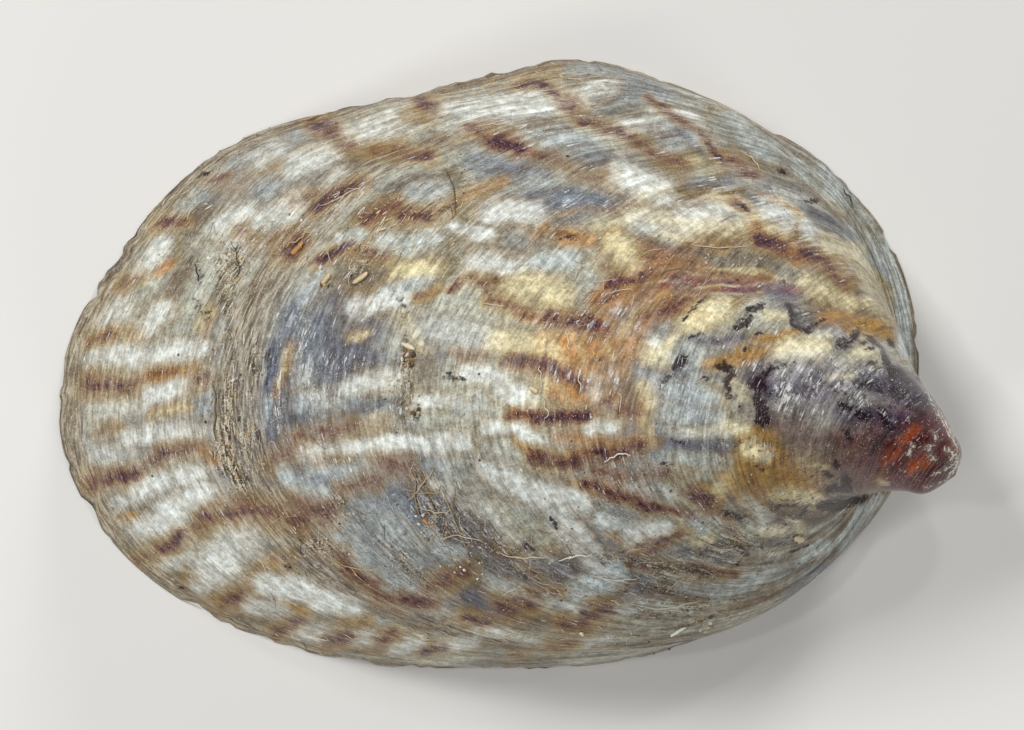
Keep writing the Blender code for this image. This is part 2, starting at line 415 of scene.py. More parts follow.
# %% [markdown]
# ## Painting by brush strokes
# The markings are soft strokes: a line between two places in the picture, a width and a
# strength. Strokes of one colour are kept in one table, and a point takes the strongest of
# them. Before a point looks its stroke up, it is moved a little along its growth line by
# noise, which combs every edge into fringes, as the real pigment was laid down line by line.

# %% Combed places
COMB = 1.2
DRIFT = 3.5

ring_way = np.roll(spot, -1, axis=1) - np.roll(spot, 1, axis=1)
ring_way = ring_way / length_of(ring_way)
comb = (COMB * cloud(growth / 0.13, x / 0.9, y / 0.9, 51.0)
        + COMB * cloud(growth / 0.35, x / 1.5, y / 1.5, 57.0))
drift = np.stack([cloud(x / 0.35, y / 0.35, 0.0, 61.0), cloud(x / 0.35, y / 0.35, 5.0, 67.0)], axis=-1)
combed = spot + ring_way * comb[..., None] + DRIFT * drift


def strokes(table, soft=0.1, widen=1.2):
    """Strongest stroke at each point: full up to a share of the half width, then fading to 0."""
    total = np.zeros_like(stage)
    for x0, y0, x1, y1, half_width, strength in table:
        start = np.array([x0, y0], dtype=float)
        along = np.array([x1 - x0, y1 - y0], dtype=float)
        share = np.clip((combed - start) @ along / (along @ along), 0.0, 1.0)
        gap = np.linalg.norm(combed - start - share[..., None] * along, axis=-1) / (half_width * widen)
        total = np.maximum(total, strength * (1 - soft_step(soft, 1.0, gap)))
    return total * shows


# %% Pale patches: picture x and y of both ends, half width in pixels, strength
WHITE_PATCHES = (
    (134, 266, 158, 247, 17, 0.8), (102, 320, 122, 306, 13, 0.7), (147, 328, 162, 308, 13, 0.9),
    (86, 360, 130, 354, 13, 0.7), (134, 358, 198, 346, 13, 0.9), (147, 396, 184, 384, 13, 1.0),
    (92, 412, 140, 405, 10, 0.6), (122, 438, 208, 428, 11, 0.9), (94, 459, 126, 448, 10, 0.6),
    (136, 489, 196, 474, 13, 0.9), (164, 514, 202, 495, 14, 1.0), (108, 507, 136, 499, 9, 0.8),
    (128, 535, 180, 516, 13, 0.9), (214, 568, 240, 538, 26, 0.9), (166, 569, 190, 562, 9, 0.6),
    (199, 588, 217, 581, 10, 0.7), (262, 584, 302, 592, 16, 1.0), (246, 606, 280, 612, 10, 0.7),
    (296, 630, 328, 636, 11, 0.8), (316, 604, 354, 608, 15, 1.0), (352, 640, 374, 641, 10, 0.9),
    (396, 652, 420, 646, 10, 0.8), (447, 648, 472, 644, 10, 0.8), (474, 632, 506, 635, 8, 0.7),
    (584, 641, 610, 642, 7, 0.6), (350, 131, 377, 120, 12, 0.8), (292, 168, 328, 152, 15, 0.7),
    (255, 159, 277, 146, 12, 0.6), (214, 227, 246, 211, 13, 0.7), (263, 223, 299, 203, 14, 0.9),
    (327, 187, 342, 173, 10, 0.8), (228, 249, 247, 246, 9, 0.8), (366, 122, 392, 112, 12, 0.5),
    (384, 124, 412, 118, 12, 0.5), (450, 118, 505, 104, 17, 0.9), (505, 106, 560, 97, 20, 1.0),
    (584, 94, 610, 88, 11, 0.8), (680, 112, 706, 122, 9, 0.6), (629, 124, 668, 120, 13, 0.6),
    (622, 176, 662, 192, 18, 1.0), (488, 212, 534, 212, 14, 1.0), (454, 228, 488, 236, 11, 1.0),
    (474, 264, 518, 264, 12, 0.9), (684, 216, 742, 212, 16, 0.9), (762, 206, 790, 224, 12, 0.9),
    (804, 224, 817, 236, 8, 0.9), (634, 220, 684, 224, 14, 0.7), (420, 330, 484, 336, 17, 0.45),
    (467, 372, 501, 378, 12, 0.8), (502, 390, 532, 400, 12, 0.9), (488, 426, 520, 426, 9, 0.9),
    (420, 400, 452, 398, 10, 0.8), (438, 440, 464, 444, 12, 0.9), (523, 436, 545, 444, 9, 1.0),
    (588, 430, 612, 428, 9, 0.9), (346, 384, 402, 376, 10, 0.8), (302, 454, 345, 447, 8, 0.7),
    (345, 447, 420, 444, 10, 1.0), (352, 306, 402, 302, 11, 0.8), (590, 384, 608, 408, 11, 0.7),
    (504, 484, 578, 502, 14, 0.9), (634, 538, 662, 534, 14, 1.0), (776, 350, 818, 350, 9, 0.9),
    (700, 316, 722, 308, 10, 0.7), (652, 340, 668, 356, 10, 0.7), (819, 336, 838, 331, 7, 0.8),
    (747, 500, 768, 518, 10, 0.8), (676, 433, 745, 430, 6, 0.7), (796, 500, 816, 503, 7, 0.6),
    (556, 520, 596, 560, 16, 0.6), (764, 527, 796, 527, 6, 0.6), (698, 517, 714, 520, 6, 0.7),
    (484, 468, 520, 484, 10, 0.9), (516, 490, 545, 506, 9, 0.9), (560, 492, 584, 506, 9, 0.8),
    (564, 514, 584, 536, 9, 0.9), (600, 514, 617, 527, 8, 0.8), (428, 482, 448, 494, 8, 0.7),
    (520, 540, 548, 560, 8, 0.5), (470, 500, 500, 520, 9, 0.5), (666, 488, 684, 500, 6, 0.5),
)
CREAM_PATCHES = (
    (497, 340, 548, 352, 17, 0.9), (616, 242, 640, 268, 15, 1.0), (514, 282, 560, 292, 16, 0.9),
    (396, 270, 436, 268, 10, 0.9), (641, 388, 650, 404, 9, 0.7), (646, 424, 653, 440, 8, 0.5), (686, 322, 724, 304, 13, 0.9),
    (711, 496, 734, 477, 10, 0.9), (786, 493, 814, 503, 10, 0.9), (828, 240, 858, 254, 11, 0.8),
    (805, 284, 850, 300, 12, 0.7), (770, 455, 748, 452, 9, 0.9), (645, 350, 662, 362, 11, 0.7),
    (552, 378, 532, 402, 12, 0.4), (632, 216, 600, 224, 10, 0.4), (718, 198, 756, 214, 10, 0.5),
    (774, 196, 800, 216, 7, 0.5), (858, 256, 884, 300, 11, 0.6), (870, 300, 890, 320, 8, 0.6),
    (700, 548, 712, 540, 8, 0.6), (728, 428, 754, 442, 7, 0.6), (400, 316, 420, 350, 8, 0.4),
    (279, 380, 284, 352, 5, 0.35), (350, 336, 364, 332, 6, 0.5), (150, 418, 182, 406, 7, 0.5),
    (195, 325, 205, 312, 8, 0.6), (620, 330, 632, 316, 10, 0.4), (768, 532, 800, 528, 8, 0.5),
    (640, 216, 742, 228, 9, 0.6), (766, 224, 786, 232, 7, 0.7), (660, 232, 700, 236, 5, 0.6),
    (690, 160, 720, 172, 8, 0.5), (640, 200, 670, 192, 8, 0.4), (584, 128, 620, 150, 9, 0.3),
    # The six thin rows from here on paint pale striae in the fold together with the glints along them: partly the
    # shell's own colour, partly painted highlight.
    (690, 263, 762, 270, 1.6, 0.9), (660, 266, 720, 275, 1.6, 0.8), (700, 284, 772, 281, 1.6, 0.9),
    (640, 281, 690, 285, 1.6, 0.8), (730, 268, 790, 278, 1.6, 0.7), (680, 293, 760, 289, 1.6, 0.7),
    (556, 340, 562, 362, 4, 0.6), (576, 336, 584, 360, 4, 0.5), (604, 340, 610, 362, 4, 0.5),
    (562, 390, 568, 410, 4, 0.4), (540, 340, 546, 358, 5, 0.6),
)
BLUE_PATCHES = (
    (342, 243, 359, 231, 9, 0.9), (305, 300, 322, 276, 10, 0.7), (380, 246, 436, 238, 12, 0.7),
    (388, 296, 424, 282, 12, 0.8), (416, 194, 452, 188, 13, 0.6), (440, 116, 470, 110, 12, 0.5),
    (553, 150, 618, 134, 16, 0.6), (536, 262, 570, 260, 12, 0.8), (523, 180, 560, 178, 10, 0.5),
    (724, 126, 776, 150, 15, 1.0), (789, 160, 812, 174, 12, 1.0), (820, 174, 850, 202, 14, 1.0),
    (854, 208, 872, 224, 10, 0.8), (744, 174, 800, 200, 14, 0.5), (540, 600, 584, 612, 12, 0.9),
    (580, 592, 616, 572, 15, 1.0), (612, 612, 640, 606, 11, 0.8), (600, 520, 628, 528, 9, 0.7),
    (280, 474, 318, 494, 13, 0.8), (314, 466, 350, 476, 10, 0.6), (268, 400, 260, 424, 8, 0.7),
    (674, 390, 712, 400, 12, 0.8), (670, 412, 720, 420, 10, 0.7), (682, 458, 728, 464, 9, 0.6),
    (272, 540, 256, 552, 8, 0.4), (492, 586, 520, 598, 10, 0.5), (430, 530, 450, 560, 10, 0.4),
    (876, 240, 906, 300, 13, 0.9), (900, 300, 908, 350, 10, 0.9), (715, 600, 780, 568, 14, 0.7),
    (796, 560, 828, 546, 9, 0.9), (845, 545, 866, 512, 11, 0.9), (868, 510, 878, 500, 7, 0.9),
    (455, 410, 480, 402, 9, 0.4), (300, 404, 352, 396, 10, 0.5), (640, 228, 676, 238, 8, 0.4),
    (690, 130, 712, 146, 10, 0.5), (848, 230, 872, 262, 8, 0.4), (680, 590, 715, 592, 8, 0.5),
    (629, 490, 654, 506, 9, 0.8), (440, 546, 461, 556, 7, 0.6), (691, 524, 707, 534, 7, 0.7),
)
print("pale strokes:", len(WHITE_PATCHES) + len(CREAM_PATCHES) + len(BLUE_PATCHES))

# %% Coloured zones, in the same form
LILAC_ZONE = (
    (300, 318, 330, 360, 34, 0.9), (270, 350, 262, 440, 18, 0.9), (290, 420, 340, 420, 20, 0.5),
    (320, 300, 372, 332, 22, 0.6), (262, 440, 330, 500, 22, 0.7), (340, 350, 390, 360, 14, 0.7),
    (350, 405, 395, 404, 11, 0.7), (440, 356, 500, 356, 9, 0.5), (470, 160, 540, 168, 14, 0.6),
    (532, 196, 600, 200, 14, 0.7), (560, 150, 640, 150, 20, 0.4), (730, 176, 850, 240, 18, 0.6),
    (467, 598, 494, 612, 12, 0.9), (400, 480, 470, 540, 34, 0.5), (330, 480, 420, 500, 18, 0.5),
    (610, 330, 634, 424, 13, 0.6), (664, 360, 700, 420, 22, 0.6), (664, 440, 724, 446, 9, 0.7),
    (640, 286, 800, 290, 10, 0.7), (440, 560, 560, 570, 22, 0.5), (420, 332, 500, 338, 22, 0.3),
    (430, 450, 560, 510, 26, 0.3), (290, 330, 350, 350, 20, 0.8), (276, 400, 330, 430, 18, 0.6), (840, 240, 900, 330, 12, 0.3),
    (620, 570, 720, 560, 18, 0.4), (380, 190, 430, 178, 10, 0.3), (650, 540, 600, 500, 16, 0.3),
    (914, 303, 919, 350, 3, 0.8), (783, 192, 850, 236, 8, 0.7), (815, 212, 885, 270, 6, 0.7),
    (671, 124, 697, 140, 10, 0.6), (754, 172, 798, 204, 9, 0.6),
)
OCHRE_ZONE = (
    (150, 414, 184, 408, 8, 0.8), (108, 512, 136, 520, 6, 0.9), (93, 336, 142, 332, 9, 0.6),
    (147, 370, 196, 364, 7, 0.9), (200, 340, 208, 310, 8, 0.5), (277, 392, 290, 346, 6, 0.7),
    (348, 336, 364, 332, 7, 0.6), (514, 443, 537, 456, 8, 0.9), (486, 300, 520, 312, 9, 0.6),
    (400, 300, 440, 286, 8, 0.6), (540, 230, 600, 240, 14, 0.6), (460, 194, 505, 178, 9, 0.8),
    (677, 236, 726, 244, 9, 0.7), (824, 256, 846, 262, 8, 0.8), (707, 366, 758, 352, 9, 0.9),
    (756, 338, 800, 332, 6, 0.8), (740, 470, 806, 470, 28, 0.7), (742, 440, 770, 436, 11, 0.7),
    (827, 318, 890, 334, 10, 0.9), (700, 484, 722, 498, 6, 0.9), (640, 396, 650, 440, 10, 0.5),
    (260, 566, 286, 557, 8, 0.7), (284, 606, 306, 612, 6, 0.8), (343, 618, 368, 626, 7, 0.7),
    (248, 580, 258, 566, 7, 0.6), (640, 548, 690, 530, 8, 0.5), (610, 534, 640, 556, 7, 0.6),
    (500, 550, 560, 552, 9, 0.4), (730, 300, 760, 292, 8, 0.5), (590, 500, 570, 480, 9, 0.4),
    (380, 640, 470, 612, 9, 0.4), (240, 590, 190, 578, 8, 0.3), (270, 250, 296, 222, 7, 0.4),
    (400, 118, 470, 78, 6, 0.5), (470, 78, 560, 68, 5, 0.5), (700, 140, 800, 200, 5, 0.6),
    (560, 210, 640, 206, 6, 0.5), (660, 190, 740, 190, 7, 0.5), (596, 246, 620, 230, 9, 0.6),
)
ORANGE_ZONE = (
    (545, 350, 628, 350, 22, 0.9), (556, 392, 612, 398, 14, 0.8), (560, 376, 620, 372, 14, 0.7),
    (524, 312, 552, 322, 7, 0.8), (514, 410, 532, 416, 6, 0.8), (600, 300, 660, 290, 16, 0.8),
    (640, 264, 668, 266, 12, 0.8), (560, 238, 588, 240, 9, 0.6), (600, 440, 560, 436, 8, 0.6),
    (732, 200, 758, 226, 8, 0.9), (784, 236, 802, 256, 10, 0.9), (758, 194, 798, 214, 4, 0.7),
    (690, 280, 720, 286, 6, 0.6), (160, 270, 170, 261, 6, 0.9), (198, 449, 214, 460, 6, 0.9),
    (146, 377, 190, 370, 5, 0.7), (570, 455, 640, 440, 8, 0.5), (588, 484, 640, 498, 10, 0.6),
    (640, 300, 640, 330, 10, 0.4), (596, 316, 640, 330, 12, 0.6), (616, 282, 640, 276, 8, 0.6),
    (780, 460, 790, 486, 12, 0.3), (344, 566, 377, 590, 5, 0.6), (232, 520, 246, 526, 5, 0.8),
)
DUSK_ZONE = (
    (410, 470, 470, 560, 26, 0.7), (470, 560, 600, 572, 16, 0.7), (600, 566, 720, 548, 13, 0.8),
    (640, 500, 740, 520, 12, 0.7), (330, 470, 420, 496, 13, 0.6), (244, 500, 320, 540, 12, 0.8),
    (350, 592, 480, 612, 9, 0.5), (180, 214, 300, 236, 10, 0.6), (250, 250, 310, 230, 12, 0.6),
    (340, 214, 440, 190, 12, 0.6), (480, 140, 640, 170, 9, 0.6), (600, 180, 690, 160, 9, 0.5),
    (690, 240, 800, 270, 12, 0.4), (640, 262, 760, 284, 13, 0.5), (800, 262, 880, 300, 9, 0.5),
    (740, 160, 800, 186, 8, 0.5), (700, 130, 730, 170, 8, 0.5), (424, 470, 404, 420, 8, 0.5),
    (520, 545, 560, 520, 8, 0.4), (760, 520, 840, 520, 12, 0.7), (660, 470, 740, 500, 8, 0.5),
    (430, 300, 420, 380, 7, 0.3), (600, 590, 720, 596, 9, 0.6), (228, 300, 232, 470, 7, 0.4),
    (560, 400, 580, 440, 8, 0.4), (600, 360, 640, 400, 9, 0.4), (380, 300, 470, 350, 6, 0.2),
    (140, 250, 210, 210, 8, 0.4), (110, 296, 190, 290, 6, 0.4), (90, 372, 200, 376, 4, 0.3),
    (520, 190, 600, 186, 9, 0.5), (430, 150, 480, 136, 8, 0.4), (720, 560, 790, 540, 9, 0.6),
)
FOLD_ZONE = (
    (648, 262, 720, 276, 11, 0.8), (720, 276, 790, 288, 8, 0.7), (606, 284, 660, 270, 8, 0.6),
    (694, 294, 640, 324, 9, 0.6), (560, 310, 604, 332, 8, 0.5), (586, 486, 650, 506, 9, 0.7),
    (650, 508, 700, 518, 7, 0.6), (690, 492, 716, 506, 8, 0.6), (508, 366, 590, 384, 7, 0.4),
    (640, 476, 600, 470, 7, 0.5), (800, 256, 850, 280, 7, 0.5), (764, 236, 800, 254, 8, 0.6),
    (494, 138, 530, 150, 7, 0.6), (640, 244, 700, 250, 7, 0.4), (640, 290, 600, 300, 7, 0.5),
    (396, 598, 440, 604, 6, 0.4), (232, 504, 300, 524, 7, 0.4), (236, 240, 256, 250, 6, 0.4),
    (640, 272, 690, 280, 4, 1.0), (690, 280, 770, 279, 4, 1.0), (650, 286, 700, 290, 4, 1.0),
    (700, 290, 772, 284, 4, 1.0), (650, 246, 712, 264, 4, 1.0), (770, 280, 800, 288, 5, 0.8),
)
OLIVE_ZONE = (
    (710, 116, 730, 138, 11, 0.7), (780, 152, 790, 166, 9, 0.6), (810, 166, 820, 184, 9, 0.7),
    (850, 200, 860, 214, 9, 0.6), (868, 226, 880, 240, 9, 0.6), (880, 284, 890, 336, 8, 0.5),
    (736, 146, 784, 176, 8, 0.6), (684, 146, 720, 172, 10, 0.5), (642, 144, 684, 172, 13, 0.5),
    (682, 190, 766, 190, 6, 0.6), (600, 104, 640, 110, 8, 0.4), (560, 108, 600, 116, 8, 0.4),
    (812, 168, 817, 186, 5, 0.6), (712, 118, 726, 138, 7, 0.5), (856, 196, 850, 212, 5, 0.5),
    (880, 232, 872, 244, 5, 0.5), (896, 284, 884, 290, 5, 0.4), (786, 152, 780, 162, 4, 0.4),
    (452, 168, 460, 218, 8, 0.8), (447, 234, 452, 268, 7, 0.7), (173, 258, 183, 245, 7, 0.6),
    (215, 380, 217, 440, 3, 0.9), (406, 114, 456, 119, 7, 0.6), (510, 556, 524, 548, 8, 0.6),
    (628, 138, 684, 166, 8, 0.4), (400, 420, 408, 380, 7, 0.5), (430, 300, 440, 280, 6, 0.4),
    (690, 170, 640, 150, 7, 0.4), (520, 530, 545, 556, 8, 0.4), (780, 256, 740, 250, 6, 0.4),
)
BEAK_GREY = (
    (764, 384, 820, 392, 30, 0.9), (800, 372, 856, 384, 22, 0.9), (870, 378, 926, 398, 24, 1.0),
    (840, 410, 900, 416, 18, 0.9), (755, 376, 768, 420, 14, 0.7), (660, 440, 720, 446, 8, 0.5),
    (780, 300, 815, 322, 15, 0.6), (696, 341, 740, 338, 6, 0.8), (830, 330, 850, 344, 12, 0.6),
)
BEAK_BLUE_BLACK = (
    (862, 380, 884, 388, 8, 0.7), (894, 380, 928, 398, 11, 0.9), (842, 402, 864, 412, 9, 0.8),
    (880, 412, 892, 432, 7, 0.8), (905, 372, 918, 386, 8, 0.9), (876, 346, 896, 372, 7, 0.8),
    (790, 306, 800, 322, 7, 0.7), (800, 326, 822, 322, 5, 0.7), (752, 380, 770, 392, 9, 0.6),
)
BEAK_PINK = (
    (806, 440, 872, 440, 20, 0.9), (824, 466, 874, 464, 16, 0.8), (800, 420, 830, 440, 14, 0.7),
    (776, 424, 800, 440, 10, 0.6),
)
BEAK_OCHRE = (
    (748, 470, 800, 484, 20, 0.8), (770, 440, 790, 470, 12, 0.7), (740, 352, 776, 348, 9, 0.9),
    (706, 362, 738, 356, 7, 0.6), (766, 336, 800, 332, 5, 0.9), (838, 318, 888, 330, 11, 1.0),
    (744, 440, 762, 430, 7, 0.8), (690, 308, 706, 320, 8, 0.6), (730, 478, 744, 500, 9, 0.6),
    (884, 474, 872, 488, 8, 0.7),
)
BEAK_WHITE = (
    (782, 348, 822, 346, 10, 1.0), (790, 340, 830, 336, 5, 0.6), (700, 326, 726, 314, 9, 0.9),
    (700, 306, 716, 314, 7, 0.6), (660, 350, 672, 338, 8, 0.9), (768, 316, 784, 318, 7, 0.8),
    (748, 456, 764, 458, 8, 1.0), (742, 434, 746, 432, 7, 0.9), (774, 494, 808, 500, 7, 0.7),
    (858, 350, 872, 360, 11, 0.7), (816, 466, 828, 470, 5, 0.7), (732, 372, 742, 400, 6, 0.5),
    (830, 376, 852, 374, 5, 0.6), (880, 484, 884, 487, 4, 1.0), (690, 430, 740, 428, 6, 0.5),
)
TIP_RED = (
    (890, 470, 950, 470, 22, 1.0), (886, 450, 944, 440, 18, 1.0), (906, 426, 934, 420, 13, 0.9),
    (922, 408, 942, 425, 9, 0.8),
)
TIP_ORANGE = (
    (904, 442, 916, 430, 7, 0.9), (911, 470, 927, 463, 7, 0.8), (886, 462, 900, 452, 7, 0.4),
)
TIP_RIM = (
    (924, 385, 934, 403, 4, 0.9), (938, 410, 949, 430, 4, 0.9), (949, 430, 957, 448, 4, 0.8),
    (948, 448, 957, 460, 6, 1.0), (958, 464, 944, 482, 4, 0.9), (944, 484, 925, 488, 3, 0.6),
    (907, 457, 914, 449, 4, 0.9), (928, 450, 934, 458, 4, 0.9), (933, 433, 936, 438, 3, 0.8),
    (934, 474, 950, 466, 2.5, 0.7),
)
print("zone strokes:", len(LILAC_ZONE) + len(OCHRE_ZONE) + len(ORANGE_ZONE) + len(OLIVE_ZONE))

# %% Brown flames, in the same form
# Their half widths are those of the dark core; the ochre fringe reaches further out.
FLAMES = (
    (93, 339, 112, 334, 7, 0.7), (112, 334, 142, 332, 6, 0.4), (92, 388, 122, 386, 10, 0.9),
    (122, 386, 148, 374, 6, 0.5), (148, 372, 182, 368, 7, 0.6), (190, 386, 207, 374, 8, 0.6),
    (97, 434, 112, 426, 6, 0.6), (94, 480, 132, 474, 9, 0.9), (132, 472, 164, 456, 7, 0.6),
    (162, 453, 194, 445, 8, 0.8), (194, 446, 214, 456, 6, 0.6), (138, 560, 160, 552, 7, 0.7),
    (158, 550, 177, 541, 9, 0.9), (177, 541, 204, 524, 8, 0.7), (204, 518, 232, 513, 9, 0.8),
    (236, 508, 300, 522, 12, 0.7), (219, 604, 236, 598, 7, 0.8), (236, 598, 248, 592, 6, 0.6),
    (205, 607, 220, 612, 5, 0.6), (276, 632, 300, 620, 7, 0.7), (331, 642, 349, 637, 8, 0.9),
    (349, 634, 366, 620, 5, 0.5), (379, 646, 392, 637, 7, 0.8), (258, 640, 268, 642, 4, 0.6),
    (268, 562, 288, 558, 5, 0.6), (343, 566, 377, 588, 7, 0.8), (380, 600, 432, 600, 7, 0.9),
    (379, 600, 398, 612, 5, 0.6), (325, 548, 345, 558, 7, 0.7), (298, 506, 326, 514, 11, 0.8),
    (256, 562, 292, 574, 4, 0.4), (424, 654, 443, 650, 6, 0.8), (462, 616, 484, 624, 6, 0.9),
    (501, 610, 532, 606, 9, 0.9), (532, 600, 546, 590, 6, 0.7), (564, 628, 586, 625, 8, 0.8),
    (549, 645, 569, 642, 6, 0.8), (588, 614, 608, 610, 9, 0.8), (425, 586, 449, 580, 7, 0.7),
    (449, 582, 471, 570, 8, 0.6), (530, 590, 560, 594, 5, 0.7), (520, 560, 540, 576, 5, 0.4),
    (510, 660, 530, 655, 4, 0.5), (376, 462, 402, 468, 9, 0.7), (402, 470, 424, 486, 7, 0.5),
    (337, 492, 375, 480, 8, 0.6), (294, 440, 350, 424, 9, 0.6), (350, 426, 380, 425, 7, 0.5),
    (270, 462, 300, 448, 10, 0.6), (314, 460, 344, 456, 6, 0.4), (350, 250, 384, 254, 7, 0.6),
    (311, 264, 350, 244, 4, 0.9), (316, 204, 334, 194, 8, 0.8), (334, 194, 362, 181, 7, 0.8),
    (294, 202, 314, 196, 6, 0.6), (236, 230, 256, 238, 7, 0.7), (270, 238, 292, 230, 6, 0.6),
    (284, 252, 302, 240, 8, 0.9), (152, 226, 182, 220, 6, 0.8), (122, 288, 138, 276, 7, 0.8),
    (210, 179, 228, 176, 6, 0.7), (222, 190, 246, 184, 7, 0.4), (250, 176, 274, 164, 7, 0.4),
    (316, 124, 332, 132, 9, 0.9), (328, 134, 345, 141, 8, 0.8), (372, 146, 402, 142, 6, 0.7),
    (396, 150, 428, 155, 7, 0.8), (366, 220, 384, 210, 8, 0.8), (384, 208, 402, 204, 6, 0.7),
    (402, 214, 430, 216, 7, 0.9), (430, 212, 462, 200, 7, 0.6), (462, 196, 502, 178, 5, 0.5),
    (419, 98, 436, 110, 7, 0.8), (408, 113, 440, 118, 5, 0.4), (467, 125, 494, 134, 5, 0.8),
    (494, 136, 520, 147, 8, 1.0), (520, 150, 556, 160, 7, 0.6), (560, 166, 612, 180, 8, 0.5),
    (518, 82, 544, 84, 5, 0.8), (544, 84, 566, 92, 5, 0.8), (562, 94, 578, 104, 8, 0.8),
    (582, 118, 610, 122, 6, 0.8), (604, 125, 628, 136, 7, 0.8), (628, 138, 652, 150, 7, 0.6),
    (652, 152, 684, 168, 8, 0.6), (649, 98, 668, 108, 4, 0.8), (664, 112, 698, 130, 4, 0.7),
    (698, 130, 718, 157, 4, 0.8), (731, 160, 751, 172, 8, 0.8), (732, 202, 742, 208, 5, 0.9),
    (742, 208, 758, 224, 5, 0.6), (762, 236, 788, 246, 8, 1.0), (784, 240, 800, 256, 6, 0.6),
    (806, 250, 826, 263, 8, 0.8), (834, 272, 850, 282, 6, 0.8), (795, 210, 800, 238, 3, 0.6),
    (640, 252, 700, 262, 5, 0.5), (666, 266, 770, 276, 4, 0.4), (720, 244, 760, 236, 5, 0.4),
    (614, 282, 650, 274, 7, 0.9), (597, 262, 618, 276, 6, 0.6), (472, 275, 492, 290, 6, 0.6),
    (492, 296, 520, 310, 7, 0.7), (520, 312, 546, 314, 6, 0.7), (546, 316, 598, 326, 9, 1.0),
    (596, 300, 630, 290, 6, 0.6), (458, 352, 484, 358, 6, 0.6), (508, 362, 530, 364, 7, 0.9),
    (534, 366, 562, 372, 9, 1.0), (562, 374, 584, 388, 9, 0.8), (584, 364, 600, 360, 6, 0.5),
    (514, 414, 540, 414, 6, 0.8), (536, 416, 588, 418, 7, 1.0), (606, 406, 636, 416, 11, 0.6),
    (534, 459, 580, 460, 7, 1.0), (576, 456, 634, 450, 8, 1.0), (634, 450, 660, 440, 5, 0.5),
    (597, 470, 618, 476, 6, 0.6), (645, 476, 668, 472, 6, 0.5), (586, 486, 620, 494, 7, 0.8),
    (620, 496, 652, 508, 7, 0.8), (652, 508, 676, 514, 5, 0.7), (690, 494, 710, 504, 8, 1.0),
    (640, 546, 690, 538, 4, 0.8), (594, 330, 620, 350, 6, 0.4), (616, 330, 628, 400, 7, 0.4),
    (641, 318, 690, 296, 6, 0.8), (690, 294, 712, 288, 4, 0.6), (744, 478, 764, 490, 8, 0.7),
    (806, 252, 860, 284, 4, 0.5), (640, 470, 690, 476, 7, 0.4), (556, 233, 574, 238, 3, 0.9),
    (449, 290, 458, 279, 3, 0.9), (484, 283, 498, 276, 4, 0.7), (415, 298, 438, 289, 4, 0.7),
    (640, 560, 700, 576, 6, 0.5), (300, 148, 330, 150, 4, 0.3), (340, 150, 372, 152, 4, 0.4),
    (724, 516, 744, 552, 5, 0.6), (650, 552, 683, 536, 5, 0.7), (629, 566, 654, 574, 4, 0.9),
    (683, 569, 736, 577, 4, 0.9),
)
print("flame strokes:", len(FLAMES))

# %% Painted glints, black stains and dirt, in the same form
# Painted highlights: where these strokes lie, pale glints, sparkles and shine are painted into the shell's colour.
PAINTED_GLINT_STROKES = (
    (780, 372, 790, 406, 13, 1.0), (834, 376, 858, 388, 9, 1.0), (826, 352, 840, 366, 8, 0.9),
    (804, 378, 816, 389, 6, 0.9), (859, 392, 863, 403, 4, 1.0), (877, 410, 888, 416, 4, 1.0),
    (905, 417, 911, 422, 3, 1.0), (748, 359, 765, 365, 5, 0.9), (800, 400, 830, 420, 10, 0.5),
    (840, 366, 880, 376, 6, 0.6), (890, 384, 920, 400, 8, 0.5), (760, 320, 784, 330, 8, 0.5),
    (800, 390, 860, 410, 12, 0.4), (790, 360, 820, 380, 8, 0.7),
    (900, 440, 950, 470, 16, 0.3),
    (800, 300, 812, 322, 7, 0.7), (666, 380, 720, 440, 16, 0.6), (676, 350, 700, 336, 8, 0.6),
    (300, 320, 320, 400, 26, 0.6), (280, 350, 278, 420, 12, 0.6), (340, 350, 400, 420, 22, 0.45),
    (300, 440, 360, 470, 18, 0.4), (650, 270, 770, 276, 14, 0.1),
    (330, 204, 400, 176, 16, 0.5), (340, 260, 400, 230, 18, 0.4), (430, 500, 520, 566, 26, 0.6),
    (540, 580, 660, 562, 20, 0.5), (640, 580, 740, 556, 14, 0.6), (690, 520, 780, 540, 14, 0.5),
    (500, 120, 570, 146, 14, 0.5), (560, 200, 640, 206, 16, 0.5), (640, 206, 710, 190, 12, 0.5),
    (540, 320, 610, 326, 14, 0.5), (550, 374, 610, 380, 12, 0.6), (590, 450, 670, 474, 12, 0.5),
    (610, 300, 640, 326, 12, 0.6), (230, 250, 300, 220, 16, 0.4), (100, 330, 200, 480, 50, 0.2),
    (470, 180, 540, 230, 22, 0.4), (720, 180, 850, 260, 16, 0.5), (600, 480, 700, 500, 16, 0.4),
    (400, 330, 420, 470, 12, 0.4), (230, 540, 330, 580, 18, 0.3), (840, 330, 890, 360, 8, 0.4),
)
